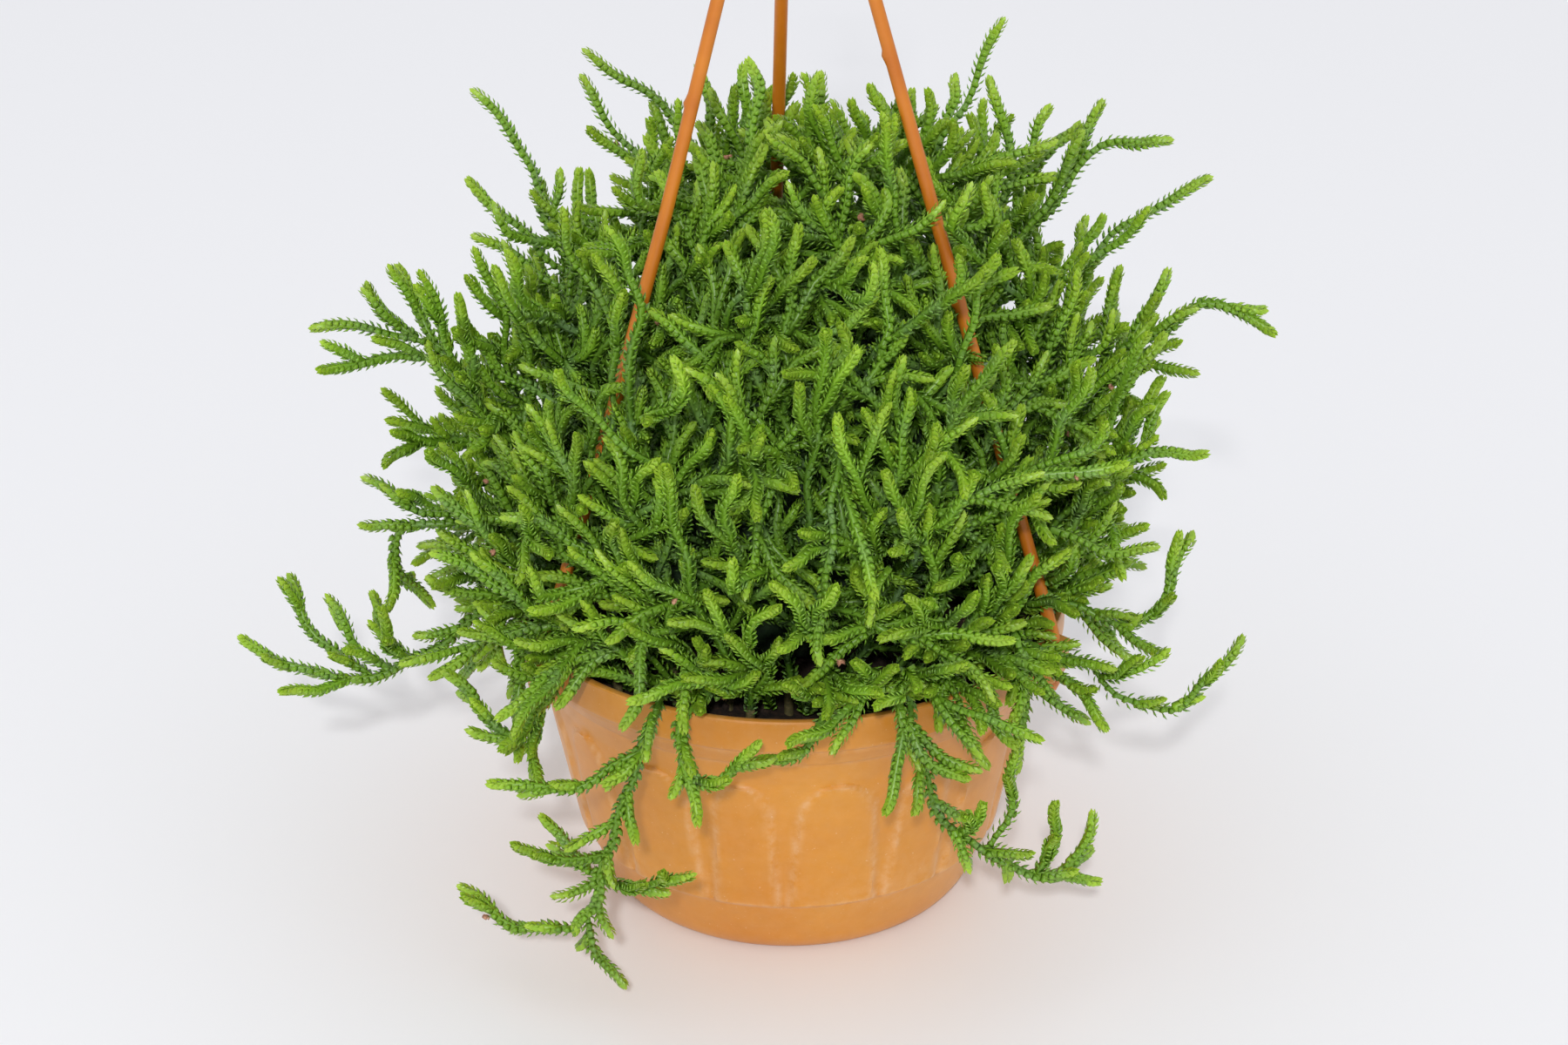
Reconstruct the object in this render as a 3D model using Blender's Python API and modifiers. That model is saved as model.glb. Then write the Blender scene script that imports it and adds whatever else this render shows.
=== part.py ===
# Potted watch chain plant: a moulded hanging bowl with its three-rod hanger, potting soil, and a crowded
# succulent whose thin stems are packed with four-ranked scale leaves.
#
# Units are metres, +Z is up. The origin is the middle of the pot's flat base, and the plant's front faces -Y.
# Azimuth is counted round +Z from the front, towards +X. The sprays' own tables are in millimetres, and MM
# turns them into metres.

import math
import random

import bmesh
import bpy
import numpy as np

MM = 0.001

# Pot: outside sizes of a 17 cm hanging bowl
RIM_RADIUS = 85.0 * MM
POT_HEIGHT = 97.5 * MM
RIM_BAND = 10.5 * MM
BASE_RADIUS = 54.6 * MM
RIM_WALL = 2.4 * MM
FLOOR = 2.2 * MM
POT_STEPS = 88
INSIDE_STEPS = 36

# Low relief on the pot: a narrow and a wide round-topped petal in turn
PETAL_PAIRS = 8
PETAL_RISE = 0.9 * MM
PETAL_FOOT = 21.5 * MM
PETAL_TOP = 69.0 * MM
PETAL_ARCH = 11.0 * MM
PETAL_TURN = math.radians(-11.0)
NARROW_HALF = math.radians(7.4)
WIDE_HALF = math.radians(10.4)
PETAL_LEAN = 0.72
PETAL_EDGE = math.radians(1.6)

# How high each mesh column of a narrow and then a wide petal reaches, as a share of the arch at its top
PETAL_REACHES = (0.0, 0.55, 1.0, 0.55, 0.0, 0.0, 0.45, 1.0, 1.0, 0.45, 0.0)

# Drainage holes in the flat base
DRAIN_HOLES = 5
DRAIN_RADIUS = 3.5 * MM
DRAIN_CIRCLE = 36.0 * MM

# Ears on the rim and the rods that stand in them
HANGER_AZIMUTHS = (-56.0, 64.0, 184.0)
EAR_WIDTH = 15.0 * MM
EAR_REACH = 92.0 * MM
EAR_DEPTH = 11.0 * MM
EAR_ROOT = 1.6 * MM
EAR_TAPER = 0.66
EAR_PROUD = 0.4 * MM
ROD_RADIUS = 2.0 * MM
ROD_HOLE = 2.4 * MM
ROD_CIRCLE = 87.8 * MM
ROD_BOWS = (-4.0, -0.5, -1.5)
HEAD_RADIUS = 3.3 * MM
HEAD_TIP = 1.5 * MM
HEAD_HEIGHT = 4.6 * MM

# Hub and hook that the three rods meet in
HUB_BASE = 362.0 * MM
HUB_HEIGHT = 15.0 * MM
HUB_RADIUS = 10.0 * MM
HUB_CIRCLE = 5.8 * MM
SOCKET_DEPTH = 10.0 * MM
HOOK_WIRE = 2.4 * MM
HOOK_BEND = 14.0 * MM

GAP = 0.3 * MM

# Soil
SOIL_TOP = 85.5 * MM
SOIL_STEPS = 36
ROOT_DEPTH = 11.0 * MM
NECK = 7.0 * MM
BARE_FOOT = ROOT_DEPTH + NECK
ROOT_HOLE = 2.6 * MM
ROOT_ROWS = (58.0 * MM, 72.0 * MM)
ROOT_SLOTS = 40

# Leafy stems: each ring of the solid is three scale leaves, larger than life, and turned half a leaf from
# the ring below it. The rings are further apart on older wood.
LEAVES_ROUND = 3
LEAF_LEAD = 0.5
STEM_RADIUS = 2.6 * MM
BARE_RADIUS = 1.7 * MM
SHOOT_ROOT = 0.8 * MM
TIP_PITCH = 6.2 * MM
OLD_PITCH = 12.0 * MM
PATH_STEP = 3.0 * MM
CLEARANCE = 2.0 * STEM_RADIUS + 0.7 * MM
MOUND_CLEARANCE = CLEARANCE - 1.0 * MM
ROD_SPACE = 9 * MM
ROD_MARGIN = 0.5 * MM
EAR_MARGIN = 7.0 * MM
POT_ROOM = 1.5 * MM
LACK = 0.25 * MM

# The bush: a crowded middle, and the shell that the tips reach
BUSH_CENTRE = np.array([0.0, 0.0, 150.0]) * MM
CORE_CENTRE = np.array([0.0, 0.0, 136.0]) * MM
CORE_RADIUS = 61.0 * MM
CORE_RISE = 67.0 * MM
CORE_SPIKE = 10.0 * MM
SHELL_RADIUS = 104.0 * MM
SHELL_RISE = 98.0 * MM
MOUND_SPRAYS = 42
MOUND_SHARE = 0.95
SEED = 2024

# Sprays by rule, as ranges of draws: those of the inner row of roots climb to the top of the shell, and those
# of the outer row stay low. Angles are in degrees, lengths in millimetres.
INNER_LIFT = (8, 52)
OUTER_LIFT = (-24, 16)
FOOT_SWAY = 7
TIP_SWAY = 10
SPRAY_REACH = (0.93, 1.05)
SPRAY_CURL = (6, 12)
SHOOT_SHARE = (0.52, 0.9)
SHOOT_LENGTH = (17, 30)
MOUND_REACH = (0.9, 1.03)
MOUND_CURL = (4, 9)
MOUND_SHOOT_SHARE = (0.4, 0.75)
MOUND_SHOOT_LENGTH = (16, 28)

# How a path is bent clear: rounds of pushing, the share of each push that is kept, and when it lies still
BEND_ROUNDS = 36
BEND_KEEP = 0.8
BEND_STILL = 0.02 * MM
NEARBY = 14 * MM
SLOT_TRIES = 6
MOUND_TRIES = 4

# Sprays that stand out of the bush or hang over the rim. Each has the way its main stem goes, in millimetres
# from the pot's base, and its side shoots: how far along the stem they start, and where their tips are.
TRAILING_SPRAYS = {
    "spray_front_left_trailer": {
        "way": [
            (-36, -73, 101), (-42, -86, 90), (-48, -92, 74), (-53, -94, 58), (-56, -92, 44),
            (-62, -90, 30),
        ],
        "shoots": [
            (0.99, (-96, -72, 31)),
            (0.74, (-77, -100, 65)),
            (0.80, (-70, -82, 62)),
            (0.84, (-30, -106, 59)),
            (0.97, (-51, -92, 13)),
            (0.42, (-84, -90, 80)),
        ],
    },
    "spray_front_low_runner": {
        "way": [(-26, -80, 102), (-32, -91, 95), (-24, -99, 85), (-10, -99, 97)],
        "shoots": [(0.62, (-26, -107, 80)), (0.35, (-26, -84, 122))],
    },
    "spray_left_drooper": {
        "way": [(-62, -57, 102), (-71, -64, 94), (-78, -72, 84), (-85, -72, 89), (-99, -60, 98)],
        "shoots": [(0.5, (-76, -72, 108)), (0.62, (-74, -86, 76))],
    },
    "spray_left_fan": {
        "way": [
            (-75, -28, 104), (-86, -28, 103), (-96, -26, 99), (-107, -25, 88), (-119, -25, 81),
            (-133, -27, 79),
        ],
        "shoots": [
            (0.99, (-164, -20, 88)),
            (0.97, (-152, -8, 101)),
            (0.90, (-138, -20, 101)),
            (0.84, (-127, -10, 96)),
            (0.78, (-121, -38, 106)),
            (0.99, (-150, -38, 80)),
        ],
    },
    "spray_left_loop": {
        "way": [
            (-76, -16, 106), (-90, -13, 127), (-104, -13, 125), (-118, -13, 121), (-119, -12, 109),
            (-110, -8, 96),
        ],
        "shoots": [(0.42, (-98, -2, 138)), (0.6, (-126, -2, 133))],
    },
    "spray_left_upper": {
        "way": [(-78, 24, 110), (-92, 26, 128), (-104, 18, 138), (-113, 6, 143), (-118, -2, 150)],
        "shoots": [(0.5, (-106, 32, 146)), (0.68, (-122, 18, 152))],
    },
    "spray_left_high": {
        "way": [
            (-76, 4, 108), (-86, 4, 130), (-94, 4, 155), (-106, 8, 173), (-122, 12, 177),
            (-141, 15, 177),
        ],
        "shoots": [
            (0.72, (-137, -8, 174)),
            (0.76, (-125, 14, 189)),
            (0.66, (-117, 22, 191)),
            (0.58, (-107, -2, 200)),
            (0.48, (-96, -14, 198)),
        ],
    },
    "spray_right_high": {
        "way": [
            (76, 0, 108), (86, 0, 130), (92, 0, 158), (101, 1, 177), (114, 2, 183), (127, 5, 190),
            (142, 0, 183),
        ],
        "shoots": [
            (0.62, (113, 17, 192)),
            (0.66, (118, -12, 174)),
            (0.5, (98, 14, 194)),
            (0.42, (106, -14, 162)),
        ],
    },
    "spray_right_middle": {
        "way": [(74, -18, 106), (82, -18, 124), (90, -17, 140), (104, -16, 149), (122, -12, 148)],
        "shoots": [(0.6, (112, -2, 160)), (0.45, (96, -32, 146))],
    },
    "spray_right_elbow": {
        "way": [
            (68, -28, 103), (80, -35, 108), (93, -38, 107), (105, -39, 104), (112, -36, 112),
            (115, -31, 128),
        ],
        "shoots": [(0.55, (109, -50, 101)), (0.42, (99, -30, 120))],
    },
    "spray_right_runner": {
        "way": [
            (64, -45, 102), (77, -52, 103), (89, -56, 99), (100, -60, 90), (114, -60, 88),
            (132, -55, 106),
        ],
        "shoots": [(0.62, (101, -66, 107)), (0.42, (92, -68, 88))],
    },
    "spray_front_right_trailer": {
        "way": [
            (34, -74, 102), (37, -87, 91), (41, -92, 77), (50, -92, 63), (65, -88, 51),
            (77, -83, 43), (90, -76, 39),
        ],
        "shoots": [
            (0.70, (66, -80, 86)), (0.62, (55, -98, 75)), (0.84, (78, -88, 70)),
            (0.90, (90, -66, 52)),
        ],
    },
    "spray_front_rim_left": {
        "way": [(14, -74, 101), (10, -86, 99), (4, -95, 93), (-7, -95, 90)],
        "shoots": [(0.45, (8, -92, 108))],
    },
    "spray_front_rim_right": {
        "way": [(46, -66, 101), (52, -77, 103), (55, -88, 98)],
        "shoots": [(0.5, (40, -84, 108))],
    },
}

# Long shoots that rise out of the top and the front of the mound
CROWN_SPRAYS = [
    {
        "way": [(-48, 18, 172), (-66, 38, 186), (-76, 55, 200), (-84, 70, 216), (-96, 80, 225)],
        "shoots": [(0.35, (-97, 60, 204)), (0.25, (-93, 38, 196)), (0.55, (-71, 62, 205))],
    },
    {
        "way": [(-12, 30, 198), (-29, 52, 221), (-45, 60, 236), (-60, 65, 244)],
        "shoots": [(0.4, (-26, 62, 240))],
    },
    {
        "way": [(-26, 24, 194), (-39, 43, 212), (-53, 54, 225), (-62, 60, 237)],
        "shoots": [(0.5, (-58, 40, 230))],
    },
    {
        "way": [(-6, 34, 198), (-7, 54, 222), (-10, 62, 240)],
        "shoots": [(0.3, (-22, 46, 238)), (0.35, (4, 60, 240))],
    },
    {
        "way": [(6, 30, 200), (7, 46, 222), (10, 52, 241)],
        "shoots": [],
    },
    {
        "way": [(32, 30, 190), (45, 52, 218), (55, 63, 233), (64, 70, 252)],
        "shoots": [(0.4, (42, 46, 238)), (0.5, (52, 78, 231))],
    },
    {
        "way": [(48, 20, 184), (66, 34, 215), (66, 42, 229), (61, 45, 242)],
        "shoots": [(0.4, (78, 52, 231))],
    },
    {
        "way": [(52, 10, 184), (82, 28, 215), (95, 38, 227), (113, 45, 224)],
        "shoots": [(0.5, (93, 48, 234)), (0.4, (86, 22, 234))],
    },
    {
        "way": [(56, 8, 170), (88, 22, 194), (106, 36, 204), (126, 45, 211)],
        "shoots": [(0.5, (106, 18, 212))],
    },
    {
        "way": [(10, -56, 172), (13, -86, 180), (11, -97, 158), (8, -98, 128)],
        "shoots": [(0.45, (24, -100, 150))],
    },
]

LEAF_GREEN = (0.085, 0.235, 0.018, 1.0)
ORANGE = (0.64, 0.29, 0.075, 1.0)
ROD_BROWN = (0.50, 0.16, 0.035, 1.0)
PEAT = (0.022, 0.013, 0.008, 1.0)


def clear_scene():
    for obj in list(bpy.data.objects):
        bpy.data.objects.remove(obj, do_unlink=True)


def new_collection(name):
    made = bpy.data.collections.new(name)
    bpy.context.scene.collection.children.link(made)
    return made


def plain_material(name, color, roughness):
    made = bpy.data.materials.new(name)
    made.use_nodes = True
    shader = made.node_tree.nodes["Principled BSDF"]
    shader.inputs["Base Color"].default_value = color
    shader.inputs["Roughness"].default_value = roughness
    shader.inputs["Metallic"].default_value = 0.0
    return made


def around(azimuth_deg, radius, height):
    """A place by azimuth, radius and height."""
    turn = math.radians(azimuth_deg)
    return np.array([radius * math.sin(turn), -radius * math.cos(turn), height])


def mesh_object(name, verts, faces, collection):
    mesh = bpy.data.meshes.new(name)
    mesh.from_pydata([tuple(map(float, v)) for v in verts], [], faces)
    obj = bpy.data.objects.new(name, mesh)
    collection.objects.link(obj)
    return obj


def finish(obj, material, smooth=True):
    obj.data.materials.clear()
    obj.data.materials.append(material)
    if smooth:
        obj.data.shade_smooth()
        obj.data.set_sharp_from_angle(angle=math.radians(40))


def apply_modifiers(obj):
    """Gives the object its evaluated mesh and drops the modifiers."""
    graph = bpy.context.evaluated_depsgraph_get()
    mesh = bpy.data.meshes.new_from_object(obj.evaluated_get(graph))
    obj.modifiers.clear()
    obj.data = mesh


def combine(obj, others, operation, solver="MANIFOLD"):
    """Joins or cuts the object with all the others in one Boolean, then removes them."""
    helpers = new_collection("helpers_of_" + obj.name)
    for other in others:
        for owner in list(other.users_collection):
            owner.objects.unlink(other)
        helpers.objects.link(other)
    boolean = obj.modifiers.new("combine", "BOOLEAN")
    boolean.operation = operation
    boolean.operand_type = "COLLECTION"
    boolean.collection = helpers
    boolean.solver = solver
    apply_modifiers(obj)
    for other in others:
        bpy.data.objects.remove(other, do_unlink=True)
    bpy.data.collections.remove(helpers)


def cylinder(name, radius, low, high, at, sides, collection, top_radius=None):
    """An upright cylinder or cone between two heights."""
    mesh = bpy.data.meshes.new(name)
    shape = bmesh.new()
    bmesh.ops.create_cone(
        shape,
        cap_ends=True,
        segments=sides,
        radius1=radius,
        radius2=radius if top_radius is None else top_radius,
        depth=high - low,
    )
    shape.to_mesh(mesh)
    shape.free()
    obj = bpy.data.objects.new(name, mesh)
    obj.location = (at[0], at[1], (low + high) / 2)
    collection.objects.link(obj)
    return obj


def tube(name, points, radius, resolution, collection):
    """A round rod along the points, as a closed mesh."""
    curve = bpy.data.curves.new(name, "CURVE")
    curve.dimensions = "3D"
    curve.bevel_depth = radius
    curve.bevel_resolution = resolution
    curve.use_fill_caps = True
    line = curve.splines.new("POLY")
    line.points.add(len(points) - 1)
    for place, point in zip(line.points, points):
        place.co = (*point, 1.0)
    bent = bpy.data.objects.new(name + "_curve", curve)
    collection.objects.link(bent)
    graph = bpy.context.evaluated_depsgraph_get()
    mesh = bpy.data.meshes.new_from_object(bent.evaluated_get(graph))
    shape = bmesh.new()
    shape.from_mesh(mesh)
    bmesh.ops.remove_doubles(shape, verts=shape.verts, dist=1e-6)
    shape.to_mesh(mesh)
    shape.free()
    obj = bpy.data.objects.new(name, mesh)
    obj.matrix_world = bent.matrix_world
    collection.objects.link(obj)
    bpy.data.objects.remove(bent, do_unlink=True)
    return obj


def smooth_path(way, step):
    """Evenly spaced points on a smooth curve through the way, with no overshoot at short gaps."""
    way = np.array(way, float)
    padded = np.vstack([2 * way[0] - way[1], way, 2 * way[-1] - way[-2]])
    knots = np.concatenate([[0.0], np.cumsum(np.linalg.norm(np.diff(padded, axis=0), axis=1) ** 0.5)])
    fine = []
    for i in range(1, len(padded) - 2):
        a, b, c, d = padded[i - 1 : i + 3]
        ka, kb, kc, kd = knots[i - 1 : i + 3]
        for k in np.linspace(kb, kc, 20, endpoint=False):
            ab = a + (b - a) * (k - ka) / (kb - ka)
            bc = b + (c - b) * (k - kb) / (kc - kb)
            cd = c + (d - c) * (k - kc) / (kd - kc)
            abc = ab + (bc - ab) * (k - ka) / (kc - ka)
            bcd = bc + (cd - bc) * (k - kb) / (kd - kb)
            fine.append(abc + (bcd - abc) * (k - kb) / (kc - kb))
    fine.append(way[-1])
    return even_points(np.array(fine), step)


def even_points(line, step):
    run = run_along(line)
    places = np.linspace(0.0, run[-1], max(3, int(round(run[-1] / step)) + 1))
    return np.stack([np.interp(places, run, line[:, axis]) for axis in range(3)], axis=1)


# Pot


def outer_wall():
    """The pot's outside from the lip down to the base, as (radius, height)."""
    band_foot = POT_HEIGHT - RIM_BAND
    return [
        (RIM_RADIUS, POT_HEIGHT),
        (RIM_RADIUS - 0.2 * MM, band_foot),
        (RIM_RADIUS - 1.1 * MM, band_foot - 0.6 * MM),
        (RIM_RADIUS - 5.6 * MM, 79.5 * MM),
        (RIM_RADIUS - 6.8 * MM, 78.7 * MM),
        (74.9 * MM, PETAL_TOP + 1.2 * MM),
        (74.1 * MM, PETAL_TOP - 3.2 * MM),
        (73.1 * MM, PETAL_TOP - 8.0 * MM),
        (65.2 * MM, PETAL_FOOT + 1.4 * MM),
        (64.7 * MM, PETAL_FOOT),
        (57.9 * MM, 4.0 * MM),
        (BASE_RADIUS, 0.0),
    ]


def inner_wall():
    """The pot's inside from the floor's middle up to the lip."""
    return [
        (0.0, FLOOR),
        (53.5 * MM, FLOOR),
        (68.9 * MM, 52.0 * MM),
        (73.0 * MM, 70.0 * MM),
        (76.5 * MM, 79.2 * MM),
        (RIM_RADIUS - RIM_WALL - 0.4 * MM, 88.0 * MM),
        (RIM_RADIUS - RIM_WALL, POT_HEIGHT),
    ]


def petal_columns(height):
    """Azimuth offsets of one narrow and one wide petal's mesh columns, which lean in towards the tops."""
    climb = min(max((height - PETAL_FOOT) / (PETAL_TOP - PETAL_FOOT), 0.0), 1.0)
    width = 1.0 - (1.0 - PETAL_LEAN) * climb
    narrow, wide = NARROW_HALF * width, WIDE_HALF * width
    edge = PETAL_EDGE
    middle = math.pi / PETAL_PAIRS
    return [
        -narrow - edge,
        -narrow,
        0.0,
        narrow,
        narrow + edge,
        middle - wide - edge,
        middle - wide,
        middle - wide / 3,
        middle + wide / 3,
        middle + wide,
        middle + wide + edge,
    ]


def petal_rise(column, height):
    """How far a column of the petals stands out of the wall: an arch is lower towards its own edges."""
    if height < PETAL_FOOT + 0.5 * MM or height > PETAL_TOP + 1.0 * MM:
        return 0.0
    reach = PETAL_REACHES[column]
    arch_foot = PETAL_TOP - PETAL_ARCH
    if height > arch_foot and (height - arch_foot) / PETAL_ARCH > reach:
        return 0.0
    return PETAL_RISE if reach > 0.0 else 0.0


def shape_petals(mesh):
    """Slides the turned wall's columns to the petals' edges and raises the petals."""
    columns = POT_STEPS // PETAL_PAIRS
    outside = outer_wall()
    for vert in mesh.vertices:
        radius = math.hypot(vert.co.x, vert.co.y)
        height = vert.co.z
        near = min(outside, key=lambda place: abs(place[1] - height) + abs(place[0] - radius))
        if abs(near[0] - radius) + abs(near[1] - height) > 1e-5 or radius < BASE_RADIUS - 1e-5:
            continue
        turn = math.atan2(vert.co.x, -vert.co.y)
        index = int(round(turn / (2 * math.pi / POT_STEPS))) % POT_STEPS
        pair, column = divmod(index, columns)
        azimuth = PETAL_TURN + pair * 2 * math.pi / PETAL_PAIRS + petal_columns(height)[column]
        radius += petal_rise(column, height)
        vert.co.x = radius * math.sin(azimuth)
        vert.co.y = -radius * math.cos(azimuth)


def turned(name, profile, steps, collection):
    """A turned solid from its outline, which runs up the inside and down the outside."""
    mesh = bpy.data.meshes.new(name)
    mesh.from_pydata([(0.0, -r, z) for r, z in profile], [(i, i + 1) for i in range(len(profile) - 1)], [])
    obj = bpy.data.objects.new(name, mesh)
    collection.objects.link(obj)
    screw = obj.modifiers.new("turned", "SCREW")
    screw.axis = "Z"
    screw.steps = steps
    screw.render_steps = steps
    screw.use_merge_vertices = True
    screw.merge_threshold = 1e-5
    apply_modifiers(obj)
    return obj


def make_pot(collection, material):
    pot = turned("pot", [(0.0, POT_HEIGHT)] + outer_wall() + [(0.0, 0.0)], POT_STEPS, collection)
    shape_petals(pot.data)
    combine(pot, [make_ear(azimuth, collection) for azimuth in HANGER_AZIMUTHS], "UNION")
    lip_radius = inner_wall()[-1][0]
    hollow = [(0.0, POT_HEIGHT + 5 * MM), (lip_radius, POT_HEIGHT + 5 * MM)] + inner_wall()[::-1]
    cutters = [turned("inside", hollow, INSIDE_STEPS, collection)]
    for azimuth in HANGER_AZIMUTHS:
        at = around(azimuth, ROD_CIRCLE, 0.0)
        low = POT_HEIGHT - EAR_DEPTH - 6.0 * MM
        cutters.append(cylinder("rod_hole", ROD_HOLE, low, POT_HEIGHT + 9.0 * MM, at, 10, collection))
    for i in range(DRAIN_HOLES):
        at = around(i * 360.0 / DRAIN_HOLES, DRAIN_CIRCLE, 0.0)
        cutters.append(cylinder("drain_hole", DRAIN_RADIUS, -2 * MM, FLOOR + 2 * MM, at, 12, collection))
    combine(pot, cutters, "DIFFERENCE")
    finish(pot, material)
    return pot


def make_ear(azimuth, collection):
    """A block on the rim band that holds a rod's foot: a cube, narrower at its outer face and below."""
    turn = math.radians(azimuth)
    outward = np.array([math.sin(turn), -math.cos(turn), 0.0])
    sideways = np.array([math.cos(turn), math.sin(turn), 0.0])
    mesh = bpy.data.meshes.new("ear")
    shape = bmesh.new()
    bmesh.ops.create_cube(shape, size=2.0)
    for vert in shape.verts:
        side, out, up = vert.co.x, vert.co.y < 0, vert.co.z > 0
        radius = RIM_RADIUS - EAR_ROOT
        half = EAR_WIDTH / 2
        if out:
            radius = EAR_REACH if up else EAR_REACH - EAR_ROOT
            half *= EAR_TAPER
        height = POT_HEIGHT + EAR_PROUD if up else POT_HEIGHT - EAR_DEPTH
        vert.co = outward * radius + sideways * half * side + np.array([0.0, 0.0, height])
    shape.to_mesh(mesh)
    shape.free()
    ear = bpy.data.objects.new("ear", mesh)
    collection.objects.link(ear)
    return ear


# Hanger


def rod_line(index):
    """A rod's middle line, from under its ear up into the hub."""
    low, high = POT_HEIGHT + 3.0 * MM, HUB_BASE - 3.0 * MM
    places = [(ROD_CIRCLE, POT_HEIGHT - EAR_DEPTH - 3.0 * MM), (ROD_CIRCLE, POT_HEIGHT)]
    for t in np.linspace(0.0, 1.0, 5):
        bow = ROD_BOWS[index] * MM * 4 * t * (1 - t)
        places.append((ROD_CIRCLE + (HUB_CIRCLE - ROD_CIRCLE) * t + bow, low + (high - low) * t))
    places.append((HUB_CIRCLE, HUB_BASE + SOCKET_DEPTH - GAP))
    return [around(HANGER_AZIMUTHS[index], radius, height) for radius, height in places]


def make_rod(index, name, collection, material):
    rod = tube(name, rod_line(index), ROD_RADIUS, 2, collection)
    at = around(HANGER_AZIMUTHS[index], ROD_CIRCLE, 0.0)
    high = POT_HEIGHT - EAR_DEPTH - GAP
    head = cylinder("head", HEAD_TIP, high + GAP - HEAD_HEIGHT, high, at, 10, collection, HEAD_RADIUS)
    combine(rod, [head], "UNION")
    finish(rod, material)
    return rod


def make_hook(collection, material):
    """The hub, with a socket for each rod, and the hook that hangs on a rail."""
    top = HUB_BASE + HUB_HEIGHT
    hub = cylinder("hanger_hook", HUB_RADIUS, HUB_BASE, top, (0, 0), 16, collection, top_radius=5.0 * MM)
    middle = top + 8.0 * MM + HOOK_BEND
    line = [(0.0, 0.0, top - 4.0 * MM), (0.0, 0.0, top + 2.0 * MM)]
    for step in range(12):
        turn = math.radians(-90 + 235 * step / 11)
        line.append((HOOK_BEND * math.cos(turn), 0.0, middle + HOOK_BEND * math.sin(turn)))
    wire = tube("wire", line, HOOK_WIRE, 2, collection)
    apply_location(hub)
    combine(hub, [wire], "UNION")
    sockets = []
    for azimuth in HANGER_AZIMUTHS:
        at = around(azimuth, HUB_CIRCLE, 0.0)
        low, high = HUB_BASE - 3 * MM, HUB_BASE + SOCKET_DEPTH
        sockets.append(cylinder("socket", ROD_HOLE, low, high, at, 10, collection))
    combine(hub, sockets, "DIFFERENCE")
    finish(hub, material)
    return hub


def apply_location(obj):
    bpy.context.view_layer.update()
    obj.data.transform(obj.matrix_world)
    obj.matrix_world.identity()


# Soil


def make_soil(roots, collection, material):
    """Peat that fills the pot, with a plain hole for each stem's root."""
    inside = [(r, z) for r, z in inner_wall() if z < SOIL_TOP and r > 0]
    last, above = inside[-1], inner_wall()[len(inside) + 1]
    share = (SOIL_TOP - last[1]) / (above[1] - last[1])
    edge = last[0] + (above[0] - last[0]) * share
    profile = [(0.0, SOIL_TOP), (edge - GAP, SOIL_TOP)]
    profile += [(r - 1.2 * GAP, z + (GAP if z <= FLOOR else 0.0)) for r, z in reversed(inside)]
    profile.append((0.0, FLOOR + GAP))
    soil = turned("soil", profile, SOIL_STEPS, collection)
    low, high = SOIL_TOP - ROOT_DEPTH - GAP, SOIL_TOP + 4 * MM
    holes = [cylinder("root_hole", ROOT_HOLE, low, high, root, 5, collection) for root in roots]
    combine(soil, holes, "DIFFERENCE")
    finish(soil, material)
    return soil


# The bush's own shape


def core_reach(direction):
    """How far the crowded middle reaches from the bush's centre, with soft lumps."""
    flat = math.hypot(direction[0], direction[1])
    size = 1.0 / math.sqrt((flat / CORE_RADIUS) ** 2 + (direction[2] / CORE_RISE) ** 2)
    turn = math.atan2(direction[0], -direction[1])
    lumps = math.sin(5 * turn + 3 * direction[2]) * 0.6 + math.sin(3 * turn - 7 * direction[2]) * 0.4
    return size * (1.0 + 0.035 * lumps * flat)


def core_reaches(directions):
    return np.array([core_reach(d) for d in directions])


def wall_segments():
    """The pot's wall and the soil's surface as line pieces in (radius, height)."""
    outside = np.array(outer_wall())
    inside = np.array([p for p in inner_wall() if p[1] > SOIL_TOP - 3 * MM])
    lines = []
    for line in (outside, inside, np.array([(0.0, SOIL_TOP), (82.0 * MM, SOIL_TOP)])):
        lines += [(line[i], line[i + 1]) for i in range(len(line) - 1)]
    return np.array([a for a, _ in lines]), np.array([b for _, b in lines])


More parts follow.
